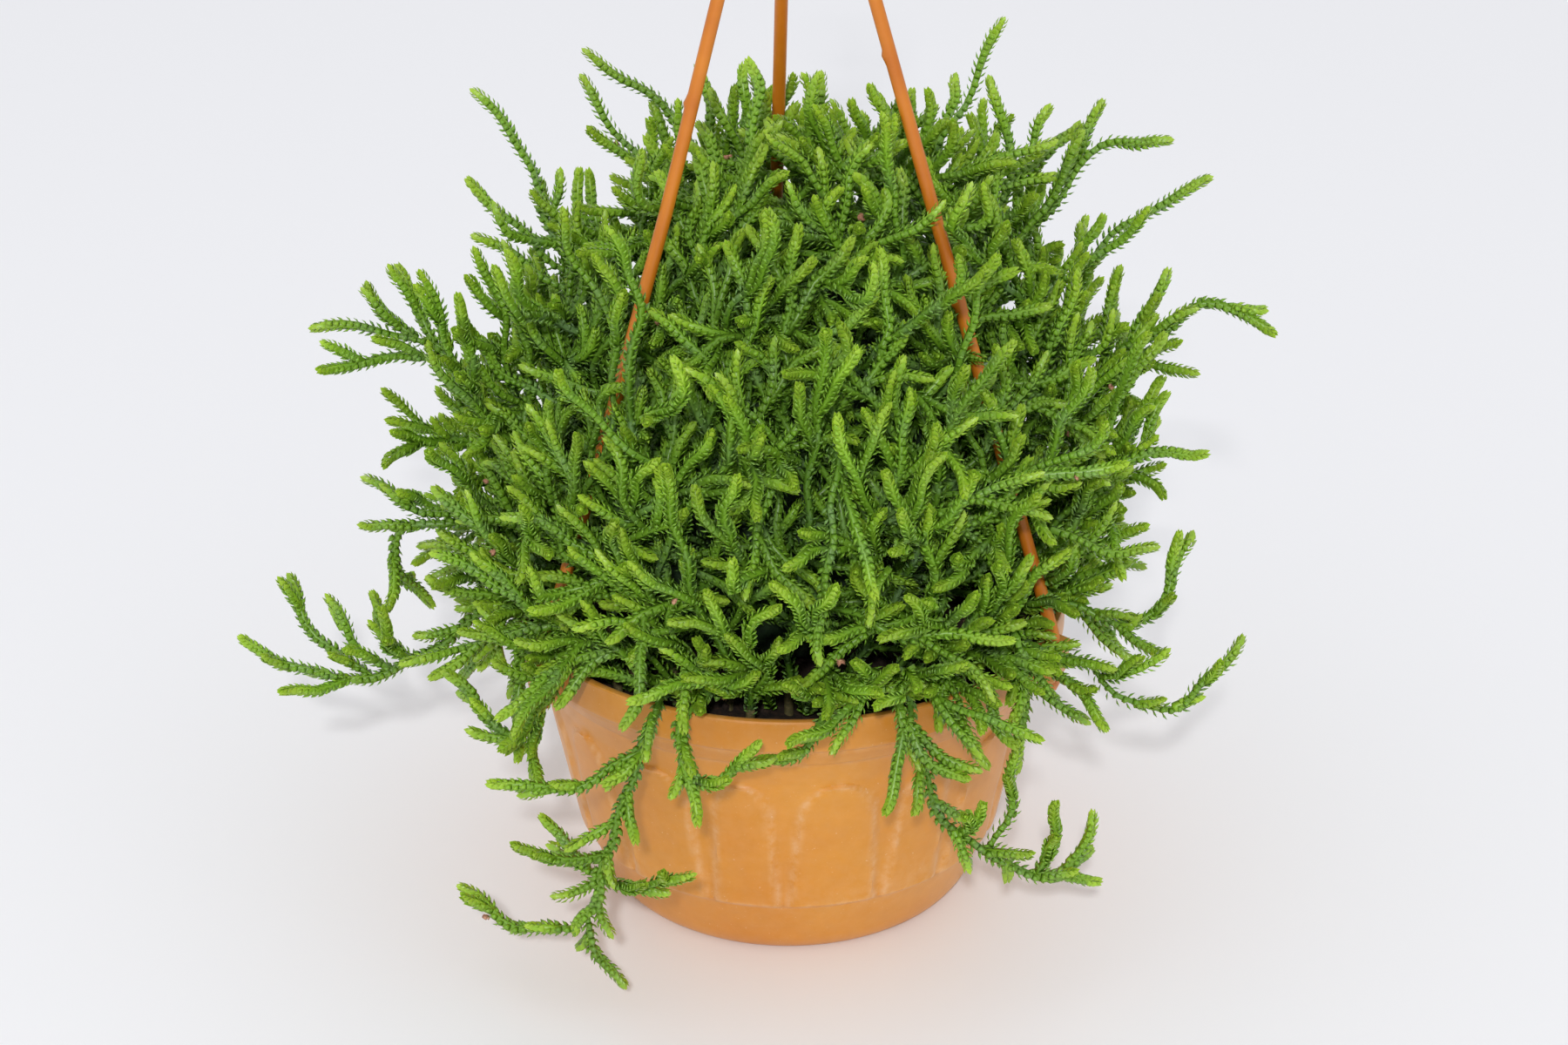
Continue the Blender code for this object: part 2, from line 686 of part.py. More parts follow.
class Room:
    """What is already placed, and how far a new stem must stay from it."""

    def __init__(self):
        self.spots = np.zeros((0, 3))
        self.spot_room = np.zeros(0)
        self.low, self.high = wall_segments()

    def add(self, points, room):
        self.spots = np.vstack([self.spots, points])
        self.spot_room = np.concatenate([self.spot_room, np.full(len(points), room)])

    def nearby(self, points, margin):
        low, high = points.min(axis=0) - margin, points.max(axis=0) + margin
        inside = np.all((self.spots > low) & (self.spots < high), axis=1)
        return self.spots[inside], self.spot_room[inside]

    def push(self, points, use_core, spots, room):
        """The shift that would take each point clear of what is placed."""
        shift = np.zeros_like(points)
        if len(spots):
            apart = points[:, None] - spots[None]
            far = np.linalg.norm(apart, axis=2)
            short = room[None] - far
            worst = short.argmax(axis=1)
            rows = np.arange(len(points))
            need = np.maximum(short[rows, worst], 0.0)
            way = apart[rows, worst] / np.maximum(far[rows, worst], 1e-6)[:, None]
            shift += way * need[:, None]
        shift += self.push_from_pot(points)
        if use_core:
            away = points - CORE_CENTRE
            far = np.maximum(np.linalg.norm(away, axis=1), 1e-6)
            away /= far[:, None]
            need = core_reaches(away) + STEM_RADIUS + 1.2 * MM - far
            shift += away * np.maximum(need, 0.0)[:, None]
        return shift

    def push_from_pot(self, points):
        radius = np.maximum(np.hypot(points[:, 0], points[:, 1]), 1e-6)
        flat = np.stack([radius, points[:, 2]], axis=1)
        along = self.high - self.low
        share = np.einsum("psk,sk->ps", flat[:, None] - self.low[None], along)
        share = np.clip(share / np.maximum((along**2).sum(axis=1), 1e-12), 0.0, 1.0)
        apart = flat[:, None] - (self.low[None] + share[..., None] * along[None])
        far = np.linalg.norm(apart, axis=2)
        best = far.argmin(axis=1)
        rows = np.arange(len(points))
        need = np.maximum(STEM_RADIUS + POT_ROOM - far[rows, best], 0.0)
        way = apart[rows, best] / np.maximum(far[rows, best], 1e-6)[:, None]
        out = points[:, :2] / radius[:, None]
        return np.column_stack([out * (way[:, 0] * need)[:, None], way[:, 1] * need])

    def bend_clear(self, points, fixed, use_core):
        """Bends a path clear of what is placed. It returns the path and how much room it still lacks."""
        start = points.copy()
        shift = np.zeros_like(points)
        spots, room = self.nearby(points, NEARBY)
        for _ in range(BEND_ROUNDS):
            push = self.push(start + shift, use_core, spots, room)
            push[:fixed] = 0.0
            if np.abs(push).max() < BEND_STILL:
                break
            shift += BEND_KEEP * push
            eased = shift.copy()
            eased[1:-1] = 0.25 * shift[:-2] + 0.5 * shift[1:-1] + 0.25 * shift[2:]
            shift[fixed:] = eased[fixed:]
        left = self.push(start + shift, use_core, spots, room)[fixed:]
        return start + shift, float(np.linalg.norm(left, axis=1).max()) if len(left) else 0.0


def run_along(points):
    return np.concatenate([[0.0], np.cumsum(np.linalg.norm(np.diff(points, axis=0), axis=1))])


def point_at(points, run, place):
    return np.array([np.interp(place, run, points[:, axis]) for axis in range(3)])


def shoot_foot(stem, share, bare):
    """Where a side shoot starts, at the ring nearest to its share of the length, and the stem's way there."""
    run = run_along(stem)
    places = ring_places(run[-1], bare)[1:]
    place = min(places, key=lambda ring: abs(ring - share * run[-1]))
    start = point_at(stem, run, place)
    along = point_at(stem, run, place + 2 * MM) - point_at(stem, run, place - 2 * MM)
    return start, along / np.linalg.norm(along)


def shoot_path(stem, share, tip, sag, bare):
    """A side shoot from its place on the main stem to its tip: it leaves along the stem, then curls up."""
    start, along = shoot_foot(stem, share, bare)
    span = np.linalg.norm(tip - start)
    middle = start + 0.5 * (tip - start) + 0.10 * span * along - np.array([0, 0, sag * span])
    return smooth_path([start, middle, tip], PATH_STEP)


def plant_spray(room, stem, bare, shoots, use_core):
    """Bends a spray clear of the others. It returns its branches, or nothing where it can't be freed."""
    fixed = 7 if bare else 2
    stem, lack = room.bend_clear(stem, fixed, use_core)
    if lack > LACK:
        return None
    branches = [even_points(stem, PATH_STEP)]
    for share, tip, sag in shoots:
        path = shoot_path(branches[0], share, tip, sag, bare)
        path, lack = room.bend_clear(path, 2, use_core)
        if lack <= LACK:
            branches.append(even_points(path, PATH_STEP))
    return branches


def root_slots():
    """Places for roots, in two rows round the soil."""
    return [(i * 360.0 / ROOT_SLOTS, ROOT_ROWS[i % 2]) for i in range(ROOT_SLOTS)]


def take_slot(slots, place):
    """Takes the free slot nearest to a place. The outer row's slots count as a little nearer."""
    azimuth = math.degrees(math.atan2(place[0], -place[1]))

    def away(slot):
        return abs((slot[0] - azimuth + 180) % 360 - 180) - (3 if slot[1] == ROOT_ROWS[1] else 0)

    best = min(slots, key=away)
    slots.remove(best)
    return best


def rooted_way(slot, way):
    """A way that starts upright in the soil at the slot."""
    foot = around(slot[0], slot[1], SOIL_TOP - ROOT_DEPTH)
    level = around(slot[0], slot[1], SOIL_TOP + NECK)
    return [foot, (foot + level) / 2, level] + [np.array(place) for place in way]


def rule_spray(draw, slot):
    """A spray by rule: its main stem climbs from its slot to the shell and curls up, with side shoots."""
    azimuth = slot[0] + draw.uniform(-FOOT_SWAY, FOOT_SWAY)
    inner = slot[1] == ROOT_ROWS[0]
    lift = math.radians(draw.uniform(*INNER_LIFT) if inner else draw.uniform(*OUTER_LIFT))
    reach = draw.uniform(*SPRAY_REACH)
    flat, rise = SHELL_RADIUS * reach * math.cos(lift), SHELL_RISE * reach * math.sin(lift)
    end = around(azimuth + draw.uniform(-TIP_SWAY, TIP_SWAY), flat, BUSH_CENTRE[2] + rise)
    out = around(azimuth, 1.0, 0.0)
    middle = around(azimuth, slot[1], SOIL_TOP) * 0.46 + end * 0.54 + out * (7 if inner else 3) * MM
    neck = around(slot[0], slot[1] + 5 * MM, 104 * MM)
    curl = end + out * 5 * MM + np.array([0, 0, draw.uniform(*SPRAY_CURL) * MM])
    stem = smooth_path(rooted_way(slot, [neck, middle, end, curl]), PATH_STEP)
    shoots = []
    for _ in range(draw.choice((1, 1, 2))):
        share = draw.uniform(*SHOOT_SHARE)
        shoots.append((share, rule_tip(draw, stem, share, draw.uniform(*SHOOT_LENGTH) * MM), 0.10))
    return stem, shoots


def rule_tip(draw, stem, share, length):
    index = min(int(round(share * (len(stem) - 1))), len(stem) - 2)
    along = stem[index + 1] - stem[index]
    along /= np.linalg.norm(along)
    out = stem[index] - BUSH_CENTRE
    out /= np.linalg.norm(out)
    side = np.cross(along, out) * draw.choice((-1, 1)) * draw.uniform(0.5, 1.0)
    way = 0.7 * along + 0.6 * side + 0.42 * out + np.array([0, 0, 0.25])
    return stem[index] + way / np.linalg.norm(way) * length


def core_foot(place):
    """Where a stem that goes to a place starts, well inside the crowded middle."""
    out = place - CORE_CENTRE
    out /= np.linalg.norm(out)
    return CORE_CENTRE + out * (core_reach(out) - CORE_SPIKE - 5 * MM)


def mound_spray(draw, index):
    """A short spray that stands out of the crowded middle, at an even spot of the dome."""
    height = 1.0 - MOUND_SHARE * (index + 0.5) / MOUND_SPRAYS
    turn = index * math.pi * (3 - math.sqrt(5))
    flat = math.sqrt(1 - height**2)
    out = np.array([flat * math.cos(turn), flat * math.sin(turn), height])
    start = core_foot(CORE_CENTRE + out)
    lean = np.array([draw.uniform(-1, 1), draw.uniform(-1, 1), draw.uniform(-0.4, 0.8)]) * 0.6
    way = out + lean - out * np.dot(out, lean)
    way /= np.linalg.norm(way)
    reach = draw.uniform(*MOUND_REACH)
    end = BUSH_CENTRE + way * np.array([SHELL_RADIUS, SHELL_RADIUS, SHELL_RISE]) * reach
    curl = end + (out * 4 + np.array([0, 0, draw.uniform(*MOUND_CURL)])) * MM
    span = np.linalg.norm(end - start)
    stem = smooth_path([start, start + (0.55 * out + 0.45 * way) * span * 0.5, end, curl], PATH_STEP)
    shoots = []
    for _ in range(draw.choice((0, 1, 1))):
        share = draw.uniform(*MOUND_SHOOT_SHARE)
        shoots.append((share, rule_tip(draw, stem, share, draw.uniform(*MOUND_SHOOT_LENGTH) * MM), 0.08))
    return stem, shoots


# Leafy stems as solids


def frames_along(points):
    """Two side directions at each point, carried along without twist."""
    ahead = np.gradient(points, axis=0)
    ahead /= np.linalg.norm(ahead, axis=1)[:, None]
    side = np.cross(ahead[0], [0.31, 0.17, 0.93])
    side /= np.linalg.norm(side)
    sides = []
    for direction in ahead:
        side = side - direction * np.dot(side, direction)
        side /= np.linalg.norm(side)
        sides.append(side)
    sides = np.array(sides)
    return ahead, sides, np.cross(ahead, sides)


def ring_places(length, bare):
    """Distances of the rings from the foot: close at the tip, wide on old wood, and two for the bare foot."""
    places = []
    left = 0.0
    while length - left > bare + 0.6 * TIP_PITCH:
        places.append(length - left)
        age = min(left / (45 * MM), 1.0)
        left += TIP_PITCH + (OLD_PITCH - TIP_PITCH) * age
    if bare:
        places.append(bare - 0.3 * NECK)
    places.append(0.0)
    return places[::-1]


def stem_solid(name, points, bare, root_radius, collection):
    """A stem whose rings of scale leaves point at its tip, each turned half a leaf from the one below."""
    run = run_along(points)
    ahead, sides, ups = frames_along(points)
    verts, faces = [], []
    places = ring_places(run[-1], bare)
    top_ring = len(places) - 1
    for ring, place in enumerate(places):
        middle, forward, side, up = (point_at(values, run, place) for values in (points, ahead, sides, ups))
        reach, lead = STEM_RADIUS, LEAF_LEAD * TIP_PITCH
        if ring == 0:
            reach, lead = root_radius, 0.0
        elif place < bare:
            reach, lead = BARE_RADIUS, 0.0
        elif ring == top_ring:
            reach = 0.8 * STEM_RADIUS
        for leaf in range(LEAVES_ROUND):
            turn = 2 * math.pi * (leaf + 0.5 * ring) / LEAVES_ROUND
            verts.append(middle + reach * (math.cos(turn) * side + math.sin(turn) * up) + forward * lead)
    for ring in range(top_ring):
        low, high = LEAVES_ROUND * ring, LEAVES_ROUND * (ring + 1)
        for leaf in range(LEAVES_ROUND):
            after = (leaf + 1) % LEAVES_ROUND
            faces += [(low + leaf, low + after, high + leaf), (high + leaf, low + after, high + after)]
    faces.append(tuple(range(LEAVES_ROUND))[::-1])
    verts.append(points[-1] + ahead[-1] * 0.9 * TIP_PITCH)
    top = LEAVES_ROUND * top_ring
    for leaf in range(LEAVES_ROUND):
        faces.append((top + leaf, top + (leaf + 1) % LEAVES_ROUND, len(verts) - 1))
    return mesh_object(name, verts, faces, collection)


def spray_solid(name, branches, collection, material):
    stem = stem_solid(name, branches[0], BARE_FOOT, BARE_RADIUS, collection)
    others = [stem_solid("shoot", path, 0.0, SHOOT_ROOT, collection) for path in branches[1:]]
    if others:
        combine(stem, others, "UNION")
    finish(stem, material, smooth=False)
    return stem


def core_solid(collection):
    """The crowded middle of the bush: a dome covered in short three-sided shoot tips, with a flat foot just
    over the soil."""
    mesh = bpy.data.meshes.new("mound")
    shape = bmesh.new()
    bmesh.ops.create_icosphere(shape, subdivisions=3, radius=1.0)
    foot = SOIL_TOP + GAP
    for vert in shape.verts:
        direction = np.array(vert.co) / np.linalg.norm(vert.co)
        place = CORE_CENTRE + direction * (core_reach(direction) - CORE_SPIKE)
        if place[2] < foot + 2 * MM:
            share = (CORE_CENTRE[2] - foot) / (CORE_CENTRE[2] - place[2])
            place = CORE_CENTRE + (place - CORE_CENTRE) * share
            place[2] = foot
        vert.co = place
    bmesh.ops.dissolve_limit(shape, angle_limit=math.radians(0.5), verts=shape.verts, edges=shape.edges)
    shape.normal_update()
    sides = [face for face in shape.faces if face.calc_center_median().z > foot + 0.8 * CORE_SPIKE]
    draw = random.Random(SEED + 1)
    tips = bmesh.ops.poke(shape, faces=sides, offset=0.0)["verts"]
    for tip in tips:
        out = np.array(tip.co) - CORE_CENTRE
        out /= np.linalg.norm(out)
        lean = out + np.array([draw.uniform(-0.5, 0.5), draw.uniform(-0.5, 0.5), draw.uniform(0.1, 0.5)])
        tip.co = np.array(tip.co) + lean / np.linalg.norm(lean) * draw.uniform(0.6, 1.0) * CORE_SPIKE
    bmesh.ops.triangulate(shape, faces=shape.faces)
    shape.to_mesh(mesh)
    shape.free()
    obj = bpy.data.objects.new("mound", mesh)
    collection.objects.link(obj)
    return obj


def rod_tunnel(index, collection):
    """The way that the bush leaves open round a rod."""
    return tube("tunnel", rod_line(index)[2:-2], ROD_RADIUS + 2 * GAP, 2, collection)


def rod_spots():
    for index in range(len(HANGER_AZIMUTHS)):
        yield even_points(np.array(rod_line(index)), 2 * MM)
        yield around(HANGER_AZIMUTHS[index], ROD_CIRCLE, POT_HEIGHT - 4 * MM)[None]


def fill_room(room, branches, clearance=CLEARANCE):
    for branch in branches:
        room.add(even_points(branch, 2 * MM), clearance)


def guided_sprays(room, slots):
    """The sprays with a way of their own, each in the free slot nearest to it."""
    sprays, roots = {}, []
    for name, spray in TRAILING_SPRAYS.items():
        way = [np.array(place) * MM for place in spray["way"]]
        slot = take_slot(slots, way[0])
        stem = smooth_path(rooted_way(slot, way), PATH_STEP)
        shoots = [(share, np.array(tip) * MM, 0.06) for share, tip in spray["shoots"]]
        branches = plant_spray(room, stem, BARE_FOOT, shoots, True)
        if branches is None:
            print("no room for", name)
            slots.append(slot)
            continue
        sprays[name] = branches
        roots.append(around(slot[0], slot[1], 0.0))
        fill_room(room, branches)
    return sprays, roots


def crown_sprays(room):
    """The long shoots that rise out of the mound. They may cross each other: they are one body with it."""
    others = Room()
    others.add(room.spots, 0.0)
    others.spot_room = room.spot_room.copy()
    made = []
    for spray in CROWN_SPRAYS:
        way = [np.array(place) * MM for place in spray["way"]]
        way.insert(0, core_foot(way[0] - np.array([0, 0, 12 * MM])))
        shoots = [(share, np.array(tip) * MM, 0.04) for share, tip in spray["shoots"]]
        branches = plant_spray(others, smooth_path(way, PATH_STEP), 0.0, shoots, False)
        if branches is None:
            print("no room for a crown spray at", spray["way"][0])
            continue
        made.append(branches)
        fill_room(room, branches)
    return made


def slot_sprays(room, slots, draw):
    """A spray by rule in each slot that is still free, where one can be bent clear."""
    sprays, roots = {}, []
    for slot in slots:
        branches = None
        for _ in range(SLOT_TRIES):
            stem, shoots = rule_spray(draw, slot)
            branches = plant_spray(room, stem, BARE_FOOT, shoots, True)
            if branches:
                break
        if branches:
            sprays["spray_%02d" % (len(sprays) + 1)] = branches
            roots.append(around(slot[0], slot[1], 0.0))
            fill_room(room, branches)
    return sprays, roots


def mound_sprays(room, draw):
    """Short sprays all over the crowded middle, none of which starts beside a rod."""
    rods = np.vstack(list(rod_spots()))
    made = []
    for index in range(MOUND_SPRAYS):
        branches = None
        for _ in range(MOUND_TRIES):
            stem, shoots = mound_spray(draw, index)
            if np.linalg.norm(rods - stem[0], axis=1).min() < ROD_SPACE:
                continue
            branches = plant_spray(room, stem, 0.0, shoots, False)
            if branches:
                break
        if branches:
            made.append(branches)
            fill_room(room, branches, MOUND_CLEARANCE)
    return made


def lay_out_bush():
    """Every spray's branches: those rooted in the soil, by name, and those that stand out of the mound."""
    draw = random.Random(SEED)
    room = Room()
    for spots in rod_spots():
        room.add(spots, ROD_RADIUS + STEM_RADIUS + (ROD_MARGIN if len(spots) > 1 else EAR_MARGIN))
    slots = root_slots()
    sprays, roots = guided_sprays(room, slots)
    mound = crown_sprays(room)
    more_sprays, more_roots = slot_sprays(room, slots, draw)
    sprays.update(more_sprays)
    return sprays, roots + more_roots, mound + mound_sprays(room, draw)


def main():
    clear_scene()
    parts = new_collection("potted_watch_chain_plant")
    orange = plain_material("terracotta_plastic", ORANGE, 0.42)
    brown = plain_material("rod_plastic", ROD_BROWN, 0.45)
    green = plain_material("scale_leaf", LEAF_GREEN, 0.5)
    peat = plain_material("peat", PEAT, 0.95)
    make_pot(parts, orange)
    for index, name in enumerate(("hanger_rod_left", "hanger_rod_right", "hanger_rod_back")):
        make_rod(index, name, parts, brown)
    make_hook(parts, brown)
    sprays, roots, mound = lay_out_bush()
    make_soil(roots, parts, peat)
    for name, branches in sprays.items():
        spray_solid(name, branches, parts, green)
    core = core_solid(parts)
    stems = []
    for branches in mound:
        stems.append(stem_solid("shoot", branches[0], 0.0, BARE_RADIUS, parts))
        stems += [stem_solid("shoot", path, 0.0, SHOOT_ROOT, parts) for path in branches[1:]]
    combine(core, stems, "UNION")
    combine(core, [rod_tunnel(index, parts) for index in range(len(HANGER_AZIMUTHS))], "DIFFERENCE")
    finish(core, green, smooth=False)


main()
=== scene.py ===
# Looks for the potted watch chain plant: every leaf of its stems, the moulded bowl, its hanger and the peat.
#
# Metres, +Z up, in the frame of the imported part. The plant's front faces -Y. Azimuth is counted round +Z from
# the front, towards +X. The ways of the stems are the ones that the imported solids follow, in millimetres.

import math
import random

import bmesh
import bpy
import numpy as np
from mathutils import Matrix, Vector, noise


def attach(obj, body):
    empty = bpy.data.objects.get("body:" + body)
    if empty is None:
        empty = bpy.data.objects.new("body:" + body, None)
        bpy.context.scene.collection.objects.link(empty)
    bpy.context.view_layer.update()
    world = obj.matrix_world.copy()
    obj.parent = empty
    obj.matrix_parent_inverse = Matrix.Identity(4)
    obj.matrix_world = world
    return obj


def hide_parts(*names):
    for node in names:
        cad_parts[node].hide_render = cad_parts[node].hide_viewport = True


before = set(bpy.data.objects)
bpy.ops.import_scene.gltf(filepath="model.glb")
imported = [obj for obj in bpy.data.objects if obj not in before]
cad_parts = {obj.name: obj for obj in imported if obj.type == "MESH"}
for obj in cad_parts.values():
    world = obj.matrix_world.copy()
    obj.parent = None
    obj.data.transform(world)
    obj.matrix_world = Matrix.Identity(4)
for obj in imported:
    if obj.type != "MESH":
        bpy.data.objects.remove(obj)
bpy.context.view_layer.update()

mm = 0.001
gap = 0.3 * mm  # air between parts that fit together


# Camera, light and floor

studio = {
    "cameraPlace": (-0.0014, -1.083, 0.682),
    "cameraTilt": 62.5,
    "lens": 92.0,
    "flashPlace": (-0.12, -3.02, 2.12),
    "flashSize": 0.15,
    "flashPower": 56.0,
    "aim": (0.0, 0.0, 0.15),
    "ambient": 0.82,
    "ambientColour": "#FBFCFF",
    "floorColour": "#F2F2F4",
    "floorRoughness": 0.55,
    "floorHalf": 3.0,
}


# sRGB hex to linear
def linearColour(hexValue):
    channels = [int(hexValue[i : i + 2], 16) / 255 for i in (1, 3, 5)]
    return tuple(c / 12.92 if c <= 0.04045 else ((c + 0.055) / 1.055) ** 2.4 for c in channels) + (1.0,)


# Adds a node, with its settings (by attribute, input name or input number) and its links
def addNode(tree, kind, settings=None, links=None):
    node = tree.nodes.new(kind)
    for key, value in (settings or {}).items():
        if key == "stops":
            stops = node.color_ramp.elements
            stops.remove(stops[-1])
            stops[0].position, stops[0].color = value[0]
            for position, colour in value[1:]:
                stops.new(position).color = colour
        elif isinstance(key, int) or key in node.inputs:
            node.inputs[key].default_value = value
        else:
            setattr(node, key, value)
    for socket, source in (links or {}).items():
        tree.links.new(source, node.inputs[socket])
    return node


def newMaterial(name):
    material = bpy.data.materials.new(name)
    material.use_nodes = True
    return material, material.node_tree, material.node_tree.nodes["Principled BSDF"]


# A ramp's stops from pairs of position and hex colour
def hexStops(*pairs):
    return [(position, linearColour(colour)) for position, colour in pairs]


# A grey ramp's stops from pairs of position and value
def greyStops(*pairs):
    return [(position, (value, value, value, 1.0)) for position, value in pairs]


# Settings of a Map Range node that turns 0 to 1 into a pair of values
def spanTo(pair):
    return {"To Min": pair[0], "To Max": pair[1]}


# White laminate: a plain, slightly soft surface
def whiteLaminate():
    material, _, shader = newMaterial("white_laminate")
    shader.inputs["Base Color"].default_value = linearColour(studio["floorColour"])
    shader.inputs["Roughness"].default_value = studio["floorRoughness"]
    return material


def setStudio():
    scene = bpy.context.scene
    camera = bpy.data.objects.new("camera", bpy.data.cameras.new("camera"))
    camera.data.lens = studio["lens"]
    camera.location = studio["cameraPlace"]
    camera.rotation_euler = (math.radians(studio["cameraTilt"]), 0.0, 0.0)
    scene.collection.objects.link(camera)
    scene.camera = camera

    flash = bpy.data.objects.new("flash", bpy.data.lights.new("flash", "AREA"))
    flash.data.size = studio["flashSize"]
    flash.data.energy = studio["flashPower"]
    flash.location = studio["flashPlace"]
    flash.rotation_euler = (Vector(studio["aim"]) - flash.location).to_track_quat("-Z", "Y").to_euler()
    scene.collection.objects.link(flash)

    half = studio["floorHalf"]
    corners = [(-half, -half, 0), (half, -half, 0), (half, half, 0), (-half, half, 0)]
    mesh = bpy.data.meshes.new("floor")
    mesh.from_pydata(corners, [], [(0, 1, 2, 3)])
    floor = bpy.data.objects.new("floor", mesh)
    floor.data.materials.append(whiteLaminate())
    scene.collection.objects.link(floor)

    scene.world = scene.world or bpy.data.worlds.new("studio")
    scene.world.use_nodes = True
    background = scene.world.node_tree.nodes["Background"]
    background.inputs["Color"].default_value = linearColour(studio["ambientColour"])
    background.inputs["Strength"].default_value = studio["ambient"]
    scene.view_settings.view_transform = "Standard"
    print("studio set")


# Finishes


# Succulent leaf with its wax: young scales are lime, grown ones mid green and old ones dark, each with a pale
# horny point, and older stems carry dull patches of grey bloom. The tone is also darkened deep inside the bush
# as painted shade and at each leaf's root as painted crevice shade, and the pale point is partly the leaf's own
# and partly a painted glint. The wax gives small soft highlights. Sizes of patterns are in millimetres here and
# in the finishes below.
def waxyLeaf():
    look = {
        "ages": hexStops(
            (0.0, "#98BA30"), (0.2, "#83AC29"), (0.42, "#739E26"), (0.7, "#638C24"), (1.0, "#507622")
        ),
        "mottle": 6.0,
        "mottleAge": 0.3,
        "bloom": "#7F9A78",
        "bloomPatch": 9.0,
        "bloomShares": greyStops((0.52, 0.0), (0.68, 0.55)),
        # Painted crevice shade: each leaf is darker towards its root, up to this share of its length, and this
        # dark there
        "creviceEnd": 0.4,
        "creviceShade": 0.88,
        "shades": (0.8, 1.2),
        # Pale point of each leaf: partly its own pale tip and partly a painted glint
        "point": "#D5DFA4",
        "pointStart": 0.9,
        "paleTipAndGlintShare": 0.35,
        "pores": 0.45,
        "poreBump": 0.25,
        "poreDepth": 0.12 * mm,
        "roughness": (0.30, 0.46),
        "ior": 1.45,
        "translucence": 0.3,
        "scatterColour": (0.7, 1.0, 0.25),
        "scatterDepth": 1.2 * mm,
    }
    material, tree, shader = newMaterial("waxy_leaf")
    tone = addNode(tree, "ShaderNodeAttribute", {"attribute_name": "leafTone"})
    split = addNode(tree, "ShaderNodeSeparateColor", links={"Color": tone.outputs["Color"]})
    age, along, vary = (split.outputs[key] for key in ("Red", "Green", "Blue"))
    place = addNode(tree, "ShaderNodeTexCoord").outputs["Object"]
    mottle = addNode(
        tree, "ShaderNodeTexNoise", {"Scale": 1000 / look["mottle"], "Detail": 3.0}, {"Vector": place}
    )
    aged = addNode(
        tree,
        "ShaderNodeMath",
        {"operation": "MULTIPLY_ADD", 1: look["mottleAge"]},
        {0: mottle.outputs["Fac"], 2: age},
    )
    aged = addNode(
        tree, "ShaderNodeMath", {"operation": "SUBTRACT", 1: look["mottleAge"] / 2}, {0: aged.outputs[0]}
    )
    green = addNode(tree, "ShaderNodeValToRGB", {"stops": look["ages"]}, {"Fac": aged.outputs[0]})
    patch = addNode(
        tree, "ShaderNodeTexNoise", {"Scale": 1000 / look["bloomPatch"], "Detail": 4.0}, {"Vector": place}
    )
    patch = addNode(
        tree, "ShaderNodeValToRGB", {"stops": look["bloomShares"]}, {"Fac": patch.outputs["Fac"]}
    )
    bloom = addNode(
        tree, "ShaderNodeMath", {"operation": "MULTIPLY"}, {0: patch.outputs["Color"], 1: age}
    )
    dulled = addNode(
        tree,
        "ShaderNodeMix",
        {"data_type": "RGBA", 7: linearColour(look["bloom"])},
        {0: bloom.outputs[0], 6: green.outputs["Color"]},
    )
    # Painted crevice shade: darker towards each leaf's root, where the leaves above shade it
    paintedCreviceShade = addNode(
        tree,
        "ShaderNodeMapRange",
        {"From Max": look["creviceEnd"], "To Min": look["creviceShade"]},
        {"Value": along},
    )
    shade = addNode(tree, "ShaderNodeMapRange", spanTo(look["shades"]), {"Value": vary})
    value = addNode(
        tree, "ShaderNodeMath", {"operation": "MULTIPLY"}, {0: paintedCreviceShade.outputs[0], 1: shade.outputs[0]}
    )
    varied = addNode(
        tree, "ShaderNodeHueSaturation", links={"Color": dulled.outputs[2], "Value": value.outputs[0]}
    )
    # The pale point of each leaf: partly the leaf's own pale tip, partly a painted glint
    point = addNode(
        tree,
        "ShaderNodeMapRange",
        {"From Min": look["pointStart"], "To Max": look["paleTipAndGlintShare"]},
        {"Value": along},
    )
    paleTippedAndGlinting = addNode(
        tree,
        "ShaderNodeMix",
        {"data_type": "RGBA", 7: linearColour(look["point"])},
        {0: point.outputs[0], 6: varied.outputs["Color"]},
    )
    tree.links.new(paleTippedAndGlinting.outputs[2], shader.inputs["Base Color"])
    pores = addNode(
        tree, "ShaderNodeTexNoise", {"Scale": 1000 / look["pores"], "Detail": 2.0}, {"Vector": place}
    )
    rough = addNode(
        tree, "ShaderNodeMapRange", spanTo(look["roughness"]), {"Value": pores.outputs["Fac"]}
    )
    tree.links.new(rough.outputs[0], shader.inputs["Roughness"])
    bump = addNode(
        tree,
        "ShaderNodeBump",
        {"Strength": look["poreBump"], "Distance": look["poreDepth"]},
        {"Height": pores.outputs["Fac"]},
    )
    tree.links.new(bump.outputs["Normal"], shader.inputs["Normal"])
    shader.inputs["IOR"].default_value = look["ior"]
    shader.inputs["Subsurface Weight"].default_value = look["translucence"]
    shader.inputs["Subsurface Radius"].default_value = look["scatterColour"]
    shader.inputs["Subsurface Scale"].default_value = look["scatterDepth"]
    return material
